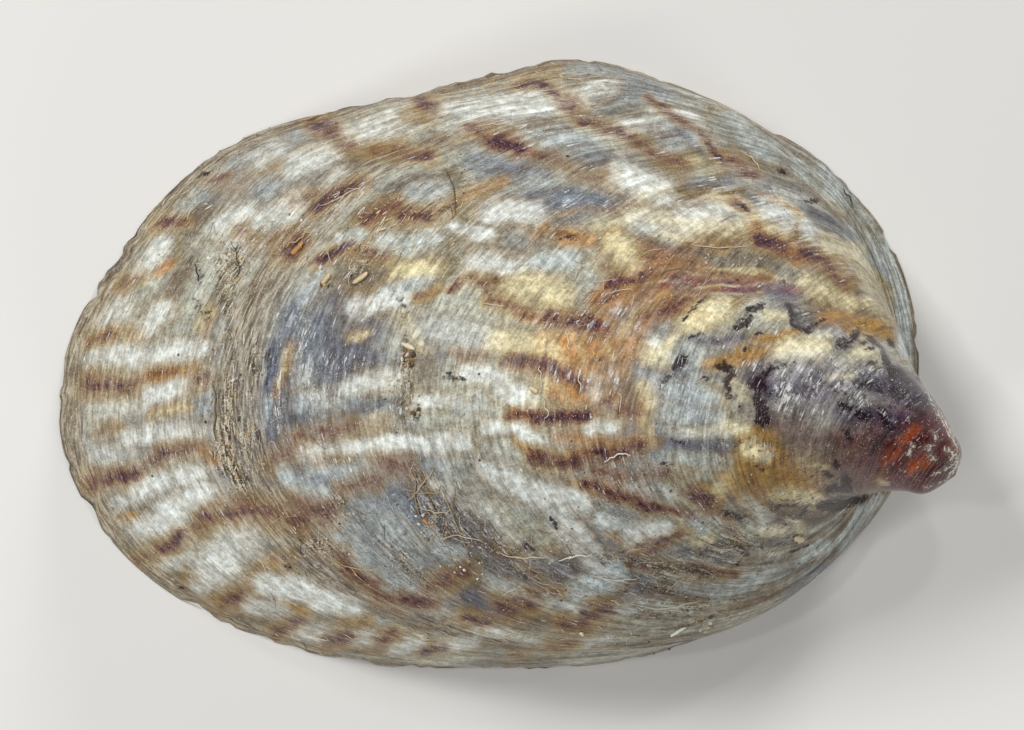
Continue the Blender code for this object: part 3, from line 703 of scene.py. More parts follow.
STAINS = (
    (800, 374, 856, 386, 20, 0.28), (840, 410, 900, 416, 18, 0.36), (868, 376, 926, 398, 20, 0.40),
    (820, 478, 852, 484, 18, 0.34), (756, 360, 790, 420, 16, 0.30), (690, 300, 764, 316, 14, 0.20),
    (790, 300, 816, 326, 14, 0.32), (850, 336, 890, 366, 14, 0.34), (640, 560, 760, 560, 16, 0.32),
    (690, 496, 740, 520, 14, 0.34), (230, 262, 226, 300, 16, 0.30), (404, 340, 408, 430, 8, 0.36),
    (430, 500, 540, 570, 30, 0.30), (560, 590, 680, 600, 26, 0.30), (680, 560, 790, 540, 20, 0.40),
    (640, 470, 700, 500, 16, 0.30), (700, 590, 640, 626, 14, 0.34), (300, 560, 420, 600, 20, 0.24),
    (320, 220, 420, 190, 18, 0.26), (750, 380, 792, 400, 18, 0.36), (800, 340, 850, 350, 10, 0.24),
    (640, 268, 790, 280, 16, 0.26), (870, 452, 950, 470, 18, 0.20), (800, 430, 880, 460, 26, 0.22),
    (770, 500, 850, 506, 12, 0.40), (228, 320, 236, 470, 14, 0.28), (740, 440, 830, 490, 30, 0.30),
    (790, 366, 860, 400, 22, 0.38), (850, 392, 905, 424, 18, 0.48), (884, 376, 926, 410, 18, 0.46),
    (800, 430, 870, 470, 24, 0.26), (560, 560, 640, 560, 20, 0.30), (600, 500, 720, 530, 20, 0.26),
    (683, 320, 696, 304, 3, 1.0), (696, 304, 707, 296, 2, 0.9), (691, 341, 705, 332, 3, 0.9),
    (672, 366, 682, 358, 8, 1.0), (661, 388, 669, 374, 4, 0.9), (722, 366, 731, 372, 9, 1.0),
    (727, 378, 730, 395, 5, 1.0), (704, 377, 706, 380, 3, 0.9), (745, 350, 748, 348, 3, 0.9),
    (748, 310, 763, 307, 6, 0.9), (737, 328, 751, 316, 7, 0.9), (755, 334, 765, 332, 2, 0.8),
    (757, 382, 770, 366, 6, 0.9), (752, 386, 766, 388, 9, 1.0), (757, 395, 762, 424, 9, 1.0),
    (766, 400, 769, 424, 4, 0.9), (772, 376, 784, 362, 3, 0.7), (789, 303, 794, 320, 5, 0.9),
    (796, 325, 812, 330, 5, 1.0), (814, 328, 828, 320, 3, 0.8), (800, 306, 814, 312, 3, 0.5),
    (841, 342, 858, 332, 7, 1.0), (872, 340, 884, 356, 5, 1.0), (882, 358, 896, 376, 7, 1.0),
    (866, 351, 869, 353, 4, 0.9), (866, 366, 871, 366, 4, 0.9), (864, 345, 869, 345, 2, 0.8),
    (890, 340, 894, 344, 4, 1.0), (898, 372, 916, 378, 8, 1.0), (896, 390, 928, 399, 10, 0.8),
    (858, 380, 882, 388, 8, 0.7), (840, 398, 864, 416, 9, 0.8), (880, 412, 890, 434, 7, 0.8),
    (908, 406, 925, 414, 6, 0.8), (844, 430, 849, 438, 4, 1.0), (886, 436, 873, 456, 4, 0.9),
    (836, 465, 839, 468, 4, 1.0), (828, 475, 831, 478, 5, 1.0), (846, 477, 850, 486, 6, 1.0),
    (827, 491, 850, 490, 6, 1.0), (822, 507, 862, 499, 7, 1.0), (862, 498, 884, 491, 4, 0.8),
    (776, 507, 820, 508, 4, 0.7), (758, 470, 761, 473, 4, 0.8), (866, 372, 850, 380, 4, 0.5),
    (443, 374, 465, 377, 4, 0.9), (549, 522, 558, 530, 3, 1.0),
    (524, 543, 535, 547, 4, 0.9), (556, 240, 573, 235, 2, 0.9), (632, 562, 658, 570, 6, 0.9),
    (680, 570, 706, 576, 5, 0.8), (689, 572, 706, 577, 4, 0.7), (724, 512, 740, 520, 6, 0.8),
    (738, 551, 749, 556, 6, 0.9), (703, 552, 714, 557, 4, 0.7), (732, 570, 741, 567, 3, 0.8),
    (790, 553, 811, 547, 2, 0.9), (798, 518, 806, 512, 3, 0.8), (790, 522, 806, 520, 2, 0.7),
    (808, 199, 818, 200, 4, 0.9), (780, 172, 784, 173, 3, 0.9),
    (199, 175, 209, 170, 4, 0.9), (229, 252, 236, 246, 5, 0.8), (214, 262, 222, 240, 3, 0.6),
    (236, 262, 218, 276, 4, 0.6), (190, 300, 206, 318, 6, 0.7), (196, 264, 200, 284, 1.6, 0.9),
    (262, 356, 272, 350, 5, 0.7), (266, 356, 267, 386, 4, 0.7), (283, 568, 287, 569, 4, 1.0),
    (350, 276, 360, 272, 4, 0.7), (180, 589, 184, 590, 3, 0.8), (333, 600, 334, 601, 2, 0.8),
    (716, 616, 702, 622, 3, 0.8), (221, 538, 222, 539, 2, 0.8), (720, 156, 723, 158, 3, 1.0),
    (398, 300, 404, 310, 5, 0.7), (410, 372, 404, 350, 4, 0.6), (414, 414, 420, 420, 5, 0.7),
    (836, 350, 830, 360, 4, 0.5), (660, 462, 672, 464, 3, 0.7), (741, 206, 747, 210, 4, 0.9),
    (672, 436, 684, 442, 3, 0.6), (655, 420, 662, 430, 3, 0.5), (770, 188, 776, 196, 3, 0.6),
    (564, 283, 570, 291, 3, 0.7), (490, 398, 498, 406, 5, 0.5), (640, 300, 646, 294, 2, 0.7),
)
DIRT = (
    (236, 250, 226, 300, 15, 0.9), (226, 300, 224, 470, 15, 0.9), (228, 470, 262, 520, 15, 0.8),
    (262, 520, 330, 552, 15, 0.7), (240, 246, 290, 210, 12, 0.6), (290, 210, 340, 190, 10, 0.5),
    (250, 300, 245, 440, 14, 0.6), (405, 340, 406, 440, 9, 0.9), (396, 300, 404, 340, 9, 0.8),
    (412, 470, 440, 540, 34, 0.7), (440, 540, 540, 578, 26, 0.7), (340, 500, 420, 580, 24, 0.5),
    (600, 560, 700, 572, 18, 0.9), (700, 560, 790, 524, 14, 0.9), (640, 620, 740, 600, 10, 0.8),
    (310, 300, 360, 262, 12, 0.6), (210, 236, 220, 330, 12, 0.6), (430, 470, 412, 430, 9, 0.6),
    (640, 486, 700, 510, 12, 0.5), (520, 570, 620, 556, 12, 0.5), (690, 600, 640, 580, 12, 0.5),
    (350, 218, 400, 196, 8, 0.5), (470, 100, 400, 108, 6, 0.3), (660, 632, 716, 622, 8, 0.8),
)
print("stain and dirt strokes:", len(STAINS) + len(DIRT))

# %% [markdown]
# ## From strokes to colour
# Colours are given as the red, green and blue of a picture, from 0 to 255, and made
# linear. The ground goes down first, a mottle of tan and pale; zones tint it; pale patches
# lie over them. The places that can't be seen from above get rays of the same kind, worked
# out from the angle, so the shell is finished all the way round.

# %% Palette
def colour(red, green, blue):
    """Linear colour of picture values 0 to 255, by the usual 2.4 power curve."""
    share = np.array([red, green, blue]) / 255.0
    return np.where(share <= 0.04045, share / 12.92, ((share + 0.055) / 1.055)**2.4)


TAN_GREY = colour(132, 118, 98)
PALE_GROUND = colour(198, 200, 186)
COOL_GREY = colour(146, 158, 172)
PATCH_RIM = colour(156, 130, 84)
DUSK = colour(88, 74, 74)
WHITE = colour(243, 250, 247)
CREAM = colour(250, 238, 192)
BLUE_WHITE = colour(214, 230, 234)
LILAC_GREY = colour(78, 94, 124)
OCHRE = colour(178, 132, 50)
ORANGE = colour(196, 128, 38)
OLIVE = colour(112, 94, 44)
BEAK_GREY_COLOUR = colour(64, 46, 92)
BLUE_BLACK = colour(20, 22, 48)
BEAK_PINK_COLOUR = colour(108, 56, 62)
TIP_RED_COLOUR = colour(84, 6, 4)
TIP_ORANGE_COLOUR = colour(216, 100, 18)
FOLD_RED = colour(138, 66, 76)
TIP_RIM_COLOUR = colour(206, 190, 168)
LAMINA_TAN = colour(158, 146, 120)
PORCELAIN = colour(226, 222, 210)
PORCELAIN_BLUE = colour(190, 200, 210)
INNER_BROWN = colour(140, 96, 66)


def tint(base, mask, over):
    """Lays a colour over the base where the mask says."""
    mask = mask[..., None]
    return base * (1 - mask) + over * mask


# %% Ground colour of the outside
mottle = 0.5 + 0.5 * cloud(growth / 0.55, x / 1.1, y / 1.1, 71.0)
ground = tint(np.broadcast_to(TAN_GREY, bare.shape), soft_step(0.15, 0.85, mottle), PALE_GROUND)
cool_places = soft_step(0.0, 0.6, cloud(x / 1.5, y / 1.5, 0.0, 75.0))
ground = tint(ground, 0.55 * cool_places, COOL_GREY)
ray_noise = cloud(np.cos(angle) * 5.2, np.sin(angle) * 5.2, growth / 2.6, 77.0)
unseen_pale = (1 - shows) * soft_step(-0.1, 0.5, ray_noise)
ground = tint(ground, 0.8 * unseen_pale, BLUE_WHITE * 0.4 + WHITE * 0.6)
halo_depth = 0.5 + 0.5 * cloud(x / 0.8, y / 0.8, 3.0, 73.0)
ground = tint(ground, 0.45 * halo_depth * strokes(FLAMES, soft=-0.3, widen=3.0), OCHRE)
ground = tint(ground, 0.7 * strokes(WHITE_PATCHES + CREAM_PATCHES + BLUE_PATCHES, soft=0.4, widen=1.9), PATCH_RIM)
ground = tint(ground, 0.8 * strokes(DUSK_ZONE, soft=-0.3, widen=1.3), DUSK)
beak_all_round = 1 - soft_step(0.10, 0.20, stage)
streaky = np.clip(0.80 + 0.35 * cloud(growth / 0.14, x / 0.9, y / 0.9, 79.0), 0.0, 1.0)
ground = tint(ground, beak_all_round, BEAK_PINK_COLOUR)
ground = tint(ground, 1 - soft_step(0.045, 0.085, stage), TIP_RED_COLOUR)
for table, opacity, over in (
    (LILAC_ZONE, 0.9, LILAC_GREY), (OCHRE_ZONE, 0.85, OCHRE), (ORANGE_ZONE, 0.9, ORANGE),
    (BLUE_PATCHES, 0.9, BLUE_WHITE), (WHITE_PATCHES, 0.95, WHITE), (CREAM_PATCHES, 0.95, CREAM),
    (OLIVE_ZONE, 0.85, OLIVE), (FOLD_ZONE, 0.75, FOLD_RED),
):
    ground = tint(ground, opacity * streaky * strokes(table, soft=0.25, widen=1.25), over)
for table, opacity, over in (
    (BEAK_OCHRE, 0.9, OCHRE), (BEAK_PINK, 0.9, BEAK_PINK_COLOUR), (BEAK_GREY, 0.95, BEAK_GREY_COLOUR),
    (BEAK_BLUE_BLACK, 0.85, BLUE_BLACK), (BEAK_WHITE, 0.95, CREAM), (TIP_RED, 1.0, TIP_RED_COLOUR),
    (TIP_ORANGE, 0.95, TIP_ORANGE_COLOUR), (TIP_RIM, 0.35, TIP_RIM_COLOUR),
):
    ground = tint(ground, opacity * strokes(table, soft=-0.3, widen=1.55), over)
margin_strip = soft_step(0.955, 0.985, stage)
ground = tint(ground, 0.8 * margin_strip, LAMINA_TAN)

# %% Masks that the material will sharpen
front = soft_step(105, 135, degrees) * (1 - soft_step(235, 262, degrees))
old_band = soft_step(0.735, 0.755, growth / RIDGE_LENGTH) * (1 - soft_step(0.79, 0.81, growth / RIDGE_LENGTH))
ray_flames = 0.85 * soft_step(0.2, 0.6, -ray_noise) * soft_step(0.2, 0.4, stage)
flame = np.maximum(strokes(FLAMES, soft=-0.6, widen=2.9), (1 - shows) * ray_flames)
stain = strokes(STAINS, soft=0.0, widen=1.5)
# Share of painted glints at each point, kept off the red tip.
painted_glint_share = np.clip(strokes(PAINTED_GLINT_STROKES, soft=0.0, widen=1.3) - 0.3 * strokes(TIP_RED), 0.0, 1.0)
grime = cloud(x / 0.5, y / 0.5, 0.0, 81.0)
dirt = np.clip(strokes(DIRT, soft=-0.2, widen=1.2) * (0.8 + 0.3 * grime)
               + 0.3 * soft_step(0.1, 0.7, grime) * soft_step(0.25, 0.4, stage), 0.0, 1.0)
beak = np.clip(strokes(BEAK_GREY) + strokes(BEAK_PINK) + strokes(TIP_RED) + beak_all_round, 0.0, 1.0)
gloss = np.clip(0.45 + 0.55 * beak - 0.6 * dirt, 0.0, 1.0)
lamination = np.clip(0.9 * margin_strip + 0.9 * old_band * front
                     + 0.22 * soft_step(0.0, 0.6, cloud(growth / 0.8, x / 2.0, y / 2.0, 87.0)), 0.0, 1.0)
lamination *= 1 - beak
wide_room = soft_step(0.62, 0.95, room)
thin_room = 1 - soft_step(0.28, 0.5, room)
print("share under flames:", (flame > 0.5).mean().round(2), "under dirt:", (dirt > 0.5).mean().round(2))

# %% The same for the hollow
inner_x, inner_y = inner[..., 0], inner[..., 1]
inner_growth = inner_stage * RIDGE_LENGTH
milk = 0.5 + 0.5 * cloud(inner_x / 1.4, inner_y / 1.4, inner_growth / 3.0, 91.0)
inner_ground = tint(np.broadcast_to(PORCELAIN, inner.shape), soft_step(0.3, 0.8, milk), PORCELAIN_BLUE)
inner_rays = cloud(np.cos(inner_angle) * 6.0, np.sin(inner_angle) * 6.0, inner_growth / 4.0, 77.0)
near_margin = soft_step(0.80, 0.97, inner_stage)
inner_ground = tint(inner_ground, 0.6 * near_margin * soft_step(0.0, 0.5, -inner_rays), INNER_BROWN)
inner_ground = tint(inner_ground, 0.7 * (1 - soft_step(0.2, 0.42, inner_stage)), INNER_BROWN)
inner_ground = tint(inner_ground, 0.5 * soft_step(0.93, 1.0, inner_stage), LAMINA_TAN)

# %% [markdown]
# ## One closed mesh
# The outer rings, the flat rim and the inner rings are one grid that closes on itself
# around, with a fan of triangles at each pole. What the material needs is stored on the
# points: a growth space, in which noise stretches along the growth lines, the ground colour,
# and two sets of masks. A material that reads its own mesh looks the same from any side.

# %% Mesh helpers
def closed_grid_faces(rows):
    """Quads between neighbouring rings and fans at both poles, all with their fronts outside."""
    ring = np.arange(rows - 1)[:, None] * AROUND
    place = np.arange(AROUND)[None, :]
    following = (place + 1) % AROUND
    quads = np.stack([ring + place, ring + AROUND + place, ring + AROUND + following, ring + following], axis=-1)
    place, following = place[0], following[0]
    tip, hollow_top = rows * AROUND, rows * AROUND + 1
    last = (rows - 1) * AROUND
    tip_fan = np.stack([np.full(AROUND, tip), place, following], axis=-1)
    top_fan = np.stack([np.full(AROUND, hollow_top), last + following, last + place], axis=-1)
    return quads.reshape(-1, 4).tolist() + tip_fan.tolist() + top_fan.tolist()


def join_rows(outside, inside):
    """Values of both grids as one list of points, with the mean of each end ring for its pole."""
    rows = np.concatenate([outside, inside])
    flat = rows.reshape(-1, rows.shape[-1])
    return np.concatenate([flat, outside[:1].mean(axis=1), inside[-1:].mean(axis=1)])


def give(mesh, name, values):
    """Stores a vector or a colour on every point of a mesh."""
    is_colour = values.shape[-1] == 4
    made = mesh.attributes.new(name, "FLOAT_COLOR" if is_colour else "FLOAT_VECTOR", "POINT")
    made.data.foreach_set("color" if is_colour else "vector", values.astype(np.float32).ravel())


def give_number(mesh, name, values):
    """Stores one number on every point of a mesh."""
    made = mesh.attributes.new(name, "FLOAT", "POINT")
    made.data.foreach_set("value", values.astype(np.float32))


def new_piece(name, points_mm, faces, material):
    """An object at the origin from points in millimetres."""
    mesh = bpy.data.meshes.new(name)
    mesh.from_pydata((points_mm * MM).tolist(), [], faces)
    mesh.materials.append(material)
    mesh.shade_smooth()
    piece = bpy.data.objects.new(name, mesh)
    bpy.context.scene.collection.objects.link(piece)
    return piece


# %% [markdown]
# ## The shell's material
# Noise read in growth space is drawn out along the rings and gives the fine lines. Three
# scales of it are mixed by how much room the rings have, so that the lines stay about 0.06 mm
# apart on the ridge and on the crowded flanks alike. The masks are broken up by the same
# noise before they turn into pigment, which is why flames look combed and stains look torn.

# %% Node helpers
class Network:
    """Small helpers that add nodes to one material and link them."""

    def __init__(self, name):
        self.material = bpy.data.materials.new(name)
        self.material.use_nodes = True
        self.tree = self.material.node_tree
        self.shader = self.tree.nodes["Principled BSDF"]

    def add(self, kind, **settings):
        made = self.tree.nodes.new(kind)
        for name, value in settings.items():
            setattr(made, name, value)
        return made

    def fill(self, socket, value):
        if isinstance(value, bpy.types.NodeSocket):
            self.tree.links.new(value, socket)
        else:
            socket.default_value = value

    def maths(self, operation, *values, clamp=False):
        made = self.add("ShaderNodeMath", operation=operation, use_clamp=clamp)
        for socket, value in zip(made.inputs, values):
            self.fill(socket, value)
        return made.outputs[0]

    def spread(self, value, low, high):
        """Smooth step from 0 at low to 1 at high."""
        made = self.add("ShaderNodeMapRange", interpolation_type="SMOOTHSTEP")
        self.fill(made.inputs["Value"], value)
        made.inputs["From Min"].default_value = low
        made.inputs["From Max"].default_value = high
        return made.outputs["Result"]

    def mix(self, share, first, second, blend="MIX"):
        made = self.add("ShaderNodeMix", data_type="RGBA", blend_type=blend)
        self.fill(made.inputs["Factor"], share)
        self.fill(made.inputs["A"], first)
        self.fill(made.inputs["B"], second)
        return made.outputs["Result"]

    def noise(self, vector, scale, detail=2.0, rough=0.6):
        made = self.add("ShaderNodeTexNoise")
        self.fill(made.inputs["Vector"], vector)
        made.inputs["Scale"].default_value = scale
        made.inputs["Detail"].default_value = detail
        made.inputs["Roughness"].default_value = rough
        return made.outputs["Factor" if "Factor" in made.outputs else "Fac"]

    def cells(self, vector, scale):
        made = self.add("ShaderNodeTexVoronoi")
        self.fill(made.inputs["Vector"], vector)
        made.inputs["Scale"].default_value = scale
        return made.outputs["Distance"], made.outputs["Color"]

    def ramp(self, value, stops):
        """Colour ramp through (place, colour, opacity) stops; gives colour and opacity."""
        made = self.add("ShaderNodeValToRGB")
        self.fill(made.inputs[0], value)
        steps = made.color_ramp.elements
        while len(steps) < len(stops):
            steps.new(0.5)
        for step, (place, tone, opacity) in zip(steps, stops):
            step.position = place
            step.color = (*tone, opacity)
        return made.outputs[0], made.outputs[1]

    def stored(self, name):
        return self.add("ShaderNodeAttribute", attribute_name=name)

    def channels(self, socket):
        made = self.add("ShaderNodeSeparateColor")
        self.fill(made.inputs[0], socket)
        return made.outputs

    def stretched(self, vector, by):
        made = self.add("ShaderNodeVectorMath", operation="MULTIPLY")
        self.fill(made.inputs[0], vector)
        made.inputs[1].default_value = by
        return made.outputs[0]

    def in_millimetres(self):
        """The point of the surface in the object's own space, in millimetres."""
        made = self.add("ShaderNodeVectorMath", operation="SCALE")
        self.fill(made.inputs[0], self.add("ShaderNodeTexCoord").outputs["Object"])
        made.inputs["Scale"].default_value = 1000.0
        return made.outputs[0]


def solid(tone):
    return (*tone, 1.0)


# %% Shell material
FLAME_STOPS = (
    (0.03, colour(186, 166, 112), 0.0), (0.20, colour(160, 130, 78), 0.34), (0.40, colour(116, 80, 56), 0.74),
    (0.58, colour(80, 44, 48), 0.90), (0.78, colour(54, 24, 42), 0.96),
)
LAMINA_STOPS = (
    (0.30, colour(62, 52, 46), 1.0), (0.46, colour(118, 102, 82), 1.0), (0.66, colour(186, 176, 154), 1.0),
)
DIRT_STOPS = (
    (0.38, colour(44, 34, 28), 1.0), (0.47, colour(116, 96, 70), 1.0), (0.54, colour(164, 150, 122), 1.0),
    (0.63, colour(228, 222, 204), 1.0),
)
STAIN_COLOUR = colour(38, 18, 26)
SPECK_COLOUR = colour(36, 28, 22)
DUST_COLOUR = colour(228, 224, 208)
PAINTED_GLINT_COLOUR = colour(236, 236, 232)
FINE_LINES = (27.0, 13.5, 6.8)
BROAD_LINES = (12.0, 6.0, 3.0)
GLINT_LINE_SCALES = (38.0, 19.0, 9.5)
STREAK_STRETCH = (1.0, 3.5, 3.5)
LINE_BUMP = 0.000008
SUBSURFACE_DEPTH = 0.00035


def lines_by_room(net, space, scales, wide, thin, detail):
    """Noise along the rings, from fine to coarse as the rings have less room."""
    fine, medium, coarse = [net.noise(space, scale, detail=detail, rough=0.6) for scale in scales]
    middle_share = net.maths("SUBTRACT", net.maths("SUBTRACT", 1.0, wide), thin)
    total = net.maths("MULTIPLY", fine, wide)
    total = net.maths("MULTIPLY_ADD", medium, middle_share, total)
    return net.maths("MULTIPLY_ADD", coarse, thin, total)


def shell_material():
    net = Network("shell_lime")
    space = net.stored("growth_space").outputs["Vector"]
    ground_colour = net.stored("ground").outputs["Color"]
    marks = net.stored("marks")
    flame_mask, stain_mask, dirt_mask = net.channels(marks.outputs["Color"])[:3]
    gloss_mask = marks.outputs["Alpha"]
    rooms = net.stored("rooms")
    wide, thin, laminated = net.channels(rooms.outputs["Color"])[:3]
    flecks = rooms.outputs["Alpha"]
    painted_glint_share = net.stored("painted_glint_share").outputs["Fac"]
    inside = net.stored("inside").outputs["Fac"]
    rugged = net.maths("MULTIPLY_ADD", inside, -0.75, 1.0)
    place = net.in_millimetres()

    line = net.spread(lines_by_room(net, space, FINE_LINES, wide, thin, 2.0), 0.28, 0.72)
    broad = net.spread(lines_by_room(net, space, BROAD_LINES, wide, thin, 1.0), 0.25, 0.75)
    torn = net.noise(place, 8.0, detail=4.0, rough=0.65)
    grain = net.noise(place, 34.0, detail=2.0, rough=0.7)
    patchy = net.spread(net.noise(place, 1.6, detail=2.0), 0.35, 0.65)

    dark_line = net.mix(1.0, ground_colour, (0.50, 0.49, 0.47, 1.0), "MULTIPLY")
    light_line = net.mix(1.0, ground_colour, (1.20, 1.20, 1.19, 1.0), "MULTIPLY")
    both_lines = net.maths("MULTIPLY_ADD", broad, 0.24, net.maths("MULTIPLY", line, 0.26))
    both_lines = net.maths("MULTIPLY_ADD", grain, 0.9, both_lines)
    both_lines = net.spread(both_lines, 0.35, 1.05)
    calm = net.maths("MULTIPLY", net.spread(net.channels(ground_colour)[1], 0.5, 0.85), 0.42)
    both_lines = net.maths("MULTIPLY_ADD", net.maths("SUBTRACT", 0.72, both_lines), calm, both_lines)
    smoothed = net.maths("MULTIPLY", inside, 0.75)
    both_lines = net.maths("MULTIPLY_ADD", net.maths("SUBTRACT", 0.72, both_lines), smoothed, both_lines)
    base = net.mix(both_lines, dark_line, light_line)
    blotchy = net.spread(net.noise(place, 9.0, detail=3.0, rough=0.6), 0.36, 0.64)
    blotch_tone = net.mix(blotchy, (0.72, 0.71, 0.69, 1.0), (1.13, 1.14, 1.14, 1.0))
    base = net.mix(rugged, base, blotch_tone, "MULTIPLY")
    streaks = net.noise(net.stretched(space, STREAK_STRETCH), 2.6, detail=4.0, rough=0.65)
    streak_tone = net.mix(net.spread(streaks, 0.38, 0.62), (0.58, 0.53, 0.50, 1.0), (1.26, 1.27, 1.27, 1.0))
    crowded = net.maths("MULTIPLY_ADD", thin, 0.35, net.maths("MULTIPLY", net.maths("SUBTRACT", 1.0, wide), 0.5))
    base = net.mix(crowded, base, net.mix(1.0, base, streak_tone, "MULTIPLY"))
    lamina_level = net.maths("MULTIPLY_ADD", broad, 0.2, net.maths("MULTIPLY", line, 0.25))
    lamina_level = net.maths("MULTIPLY_ADD", torn, 0.25, lamina_level)
    lamina_level = net.maths("MULTIPLY_ADD", grain, 0.3, lamina_level)
    lamina, _ = net.ramp(lamina_level, LAMINA_STOPS)
    base = net.mix(net.maths("MULTIPLY", laminated, 0.74), base, lamina)

    combing = net.maths("MULTIPLY_ADD", net.maths("SUBTRACT", 0.5, both_lines), 0.35, 1.0)
    tearing = net.maths("MULTIPLY_ADD", net.maths("SUBTRACT", torn, 0.5), 1.6, 1.0)
    waning = net.mix(net.spread(net.noise(place, 2.2, detail=2.0), 0.35, 0.62), (0.76, 0.76, 0.76, 1.0),
                     (1.15, 1.15, 1.15, 1.0))
    flame_level = net.maths("MULTIPLY", net.maths("MULTIPLY", flame_mask, combing), tearing)
    flame_level = net.maths("MULTIPLY", flame_level, waning)
    flame_tone, flame_opacity = net.ramp(flame_level, FLAME_STOPS)
    flame_tone = net.mix(1.0, flame_tone, net.mix(both_lines, (0.75, 0.75, 0.75, 1.0), (1.3, 1.3, 1.3, 1.0)), "MULTIPLY")
    base = net.mix(flame_opacity, base, flame_tone)

    ragged = net.noise(place, 15.0, detail=3.0, rough=0.6)
    stain_level = net.maths("MULTIPLY_ADD", net.maths("SUBTRACT", ragged, 0.5), 1.7, stain_mask)
    stain_level = net.maths("MULTIPLY_ADD", net.maths("SUBTRACT", torn, 0.5), 0.8, stain_level)
    stain_share = net.spread(stain_level, 0.32, 0.82)
    stain_share = net.maths("MULTIPLY", stain_share, net.spread(stain_mask, 0.02, 0.2))
    base = net.mix(net.maths("MULTIPLY", stain_share, 0.92), base, solid(STAIN_COLOUR))

    dirt_level = net.maths("MULTIPLY_ADD", net.maths("SUBTRACT", torn, 0.5), 2.0, dirt_mask)
    dirt_share = net.maths("MULTIPLY", net.spread(dirt_level, 0.35, 1.0), net.spread(dirt_mask, 0.0, 0.3))
    dirt_tone, _ = net.ramp(net.maths("MULTIPLY_ADD", line, 0.25, net.maths("MULTIPLY", grain, 0.75)), DIRT_STOPS)
    base = net.mix(net.maths("MULTIPLY", dirt_share, 0.76), base, dirt_tone)

    # Painted highlights: pale glint lines along the rings, sparkles and a broad shine are mixed into the base colour,
    # most of all where the glint strokes lie; they also raise the bump.
    glint_line_level = lines_by_room(net, space, GLINT_LINE_SCALES, wide, thin, 1.0)
    painted_glint_lines = net.spread(net.maths("MULTIPLY_ADD", painted_glint_share, 0.12, glint_line_level), 0.63, 0.71)
    torn_or_glint_share = net.maths("MULTIPLY_ADD", painted_glint_share, 0.08, torn)
    painted_glint_lines = net.maths("MULTIPLY", painted_glint_lines, net.spread(torn_or_glint_share, 0.50, 0.58))
    sparkle_level = net.maths("MULTIPLY_ADD", painted_glint_share, 0.04, net.noise(place, 44.0, detail=1.0))
    sparkles = net.maths("MULTIPLY", net.spread(sparkle_level, 0.63, 0.73), net.maths("MAXIMUM", patchy, painted_glint_share))
    glints = net.maths("MAXIMUM", painted_glint_lines, net.maths("MULTIPLY", sparkles, 0.8))
    shine = net.maths("MULTIPLY", net.spread(net.maths("MULTIPLY_ADD", grain, 0.9, broad), 1.05, 1.40), painted_glint_share)
    shine = net.maths("MULTIPLY", shine, net.spread(torn, 0.42, 0.56))
    glints = net.maths("MAXIMUM", glints, net.maths("MULTIPLY", shine, 0.95))
    glints = net.maths("MULTIPLY", glints, rugged)
    base = net.mix(net.maths("MULTIPLY", glints, 0.70), base, solid(PAINTED_GLINT_COLOUR))

    cell_distance, cell_random = net.cells(place, 2.6)
    cell_size = net.maths("MULTIPLY", net.channels(cell_random)[0], 0.11)
    speck = net.maths("LESS_THAN", cell_distance, net.maths("SUBTRACT", cell_size, 0.045))
    base = net.mix(net.maths("MULTIPLY", speck, 0.85), base, solid(SPECK_COLOUR))
    fleck_level = net.maths("MULTIPLY_ADD", net.noise(place, 14.0, detail=3.0, rough=0.7), 1.0, net.maths("MULTIPLY", flecks, 0.22))
    fleck = net.spread(fleck_level, 0.72, 0.76)
    base = net.mix(net.maths("MULTIPLY", fleck, 0.8), base, solid(DUST_COLOUR))

    rough = net.maths("MULTIPLY_ADD", gloss_mask, -0.24, 0.38)
    rough = net.maths("MULTIPLY_ADD", dirt_share, 0.35, rough, clamp=True)
    height = net.maths("MULTIPLY", line, 0.35)
    height = net.maths("MULTIPLY_ADD", glints, 0.8, height)
    height = net.maths("MULTIPLY_ADD", broad, 1.6, height)
    height = net.maths("MULTIPLY_ADD", net.maths("MULTIPLY", dirt_share, grain), 3.0, height)
    height = net.maths("MULTIPLY", height, rugged)
    bump = net.add("ShaderNodeBump")
    bump.inputs["Strength"].default_value = 1.0
    bump.inputs["Distance"].default_value = LINE_BUMP
    net.fill(bump.inputs["Height"], height)

    shader = net.shader
    net.fill(shader.inputs["Base Color"], base)
    net.fill(shader.inputs["Roughness"], rough)
    net.fill(shader.inputs["Normal"], bump.outputs["Normal"])
    shader.inputs["Specular IOR Level"].default_value = 0.12
    shader.inputs["Subsurface Weight"].default_value = 0.06
    shader.inputs["Subsurface Radius"].default_value = (1.0, 0.8, 0.65)
    shader.inputs["Subsurface Scale"].default_value = SUBSURFACE_DEPTH
    return net.material


# %% Build the shell
def outside_values(*layers):
    return np.stack(np.broadcast_arrays(*layers), axis=-1)


ALONG_SHARE = 0.16
zero = np.zeros_like(inner_stage)
tip_flecks = np.clip(0.32 * strokes(TIP_RED) + strokes(TIP_RIM, soft=0.0, widen=1.7), 0.0, 1.0)
shell = new_piece("limpet_shell", join_rows(outer, inner), closed_grid_faces(OUTER_ROWS + INNER_ROWS), shell_material())
give(shell.data, "growth_space", join_rows(
    outside_values(growth, x * ALONG_SHARE, y * ALONG_SHARE),
    outside_values(inner_growth, inner_x * ALONG_SHARE, inner_y * ALONG_SHARE)))
give(shell.data, "ground", join_rows(
    np.concatenate([ground, np.ones_like(stage)[..., None]], axis=-1),
    np.concatenate([inner_ground, np.ones_like(zero)[..., None]], axis=-1)))
give(shell.data, "marks", join_rows(
    outside_values(flame, stain, dirt, gloss),
    outside_values(zero, zero, zero + 0.1, zero + 0.95)))
give(shell.data, "rooms", join_rows(
    outside_values(wide_room, thin_room, lamination, 0.06 + 0.94 * tip_flecks),
    outside_values(zero + 1.0, zero, zero, zero)))
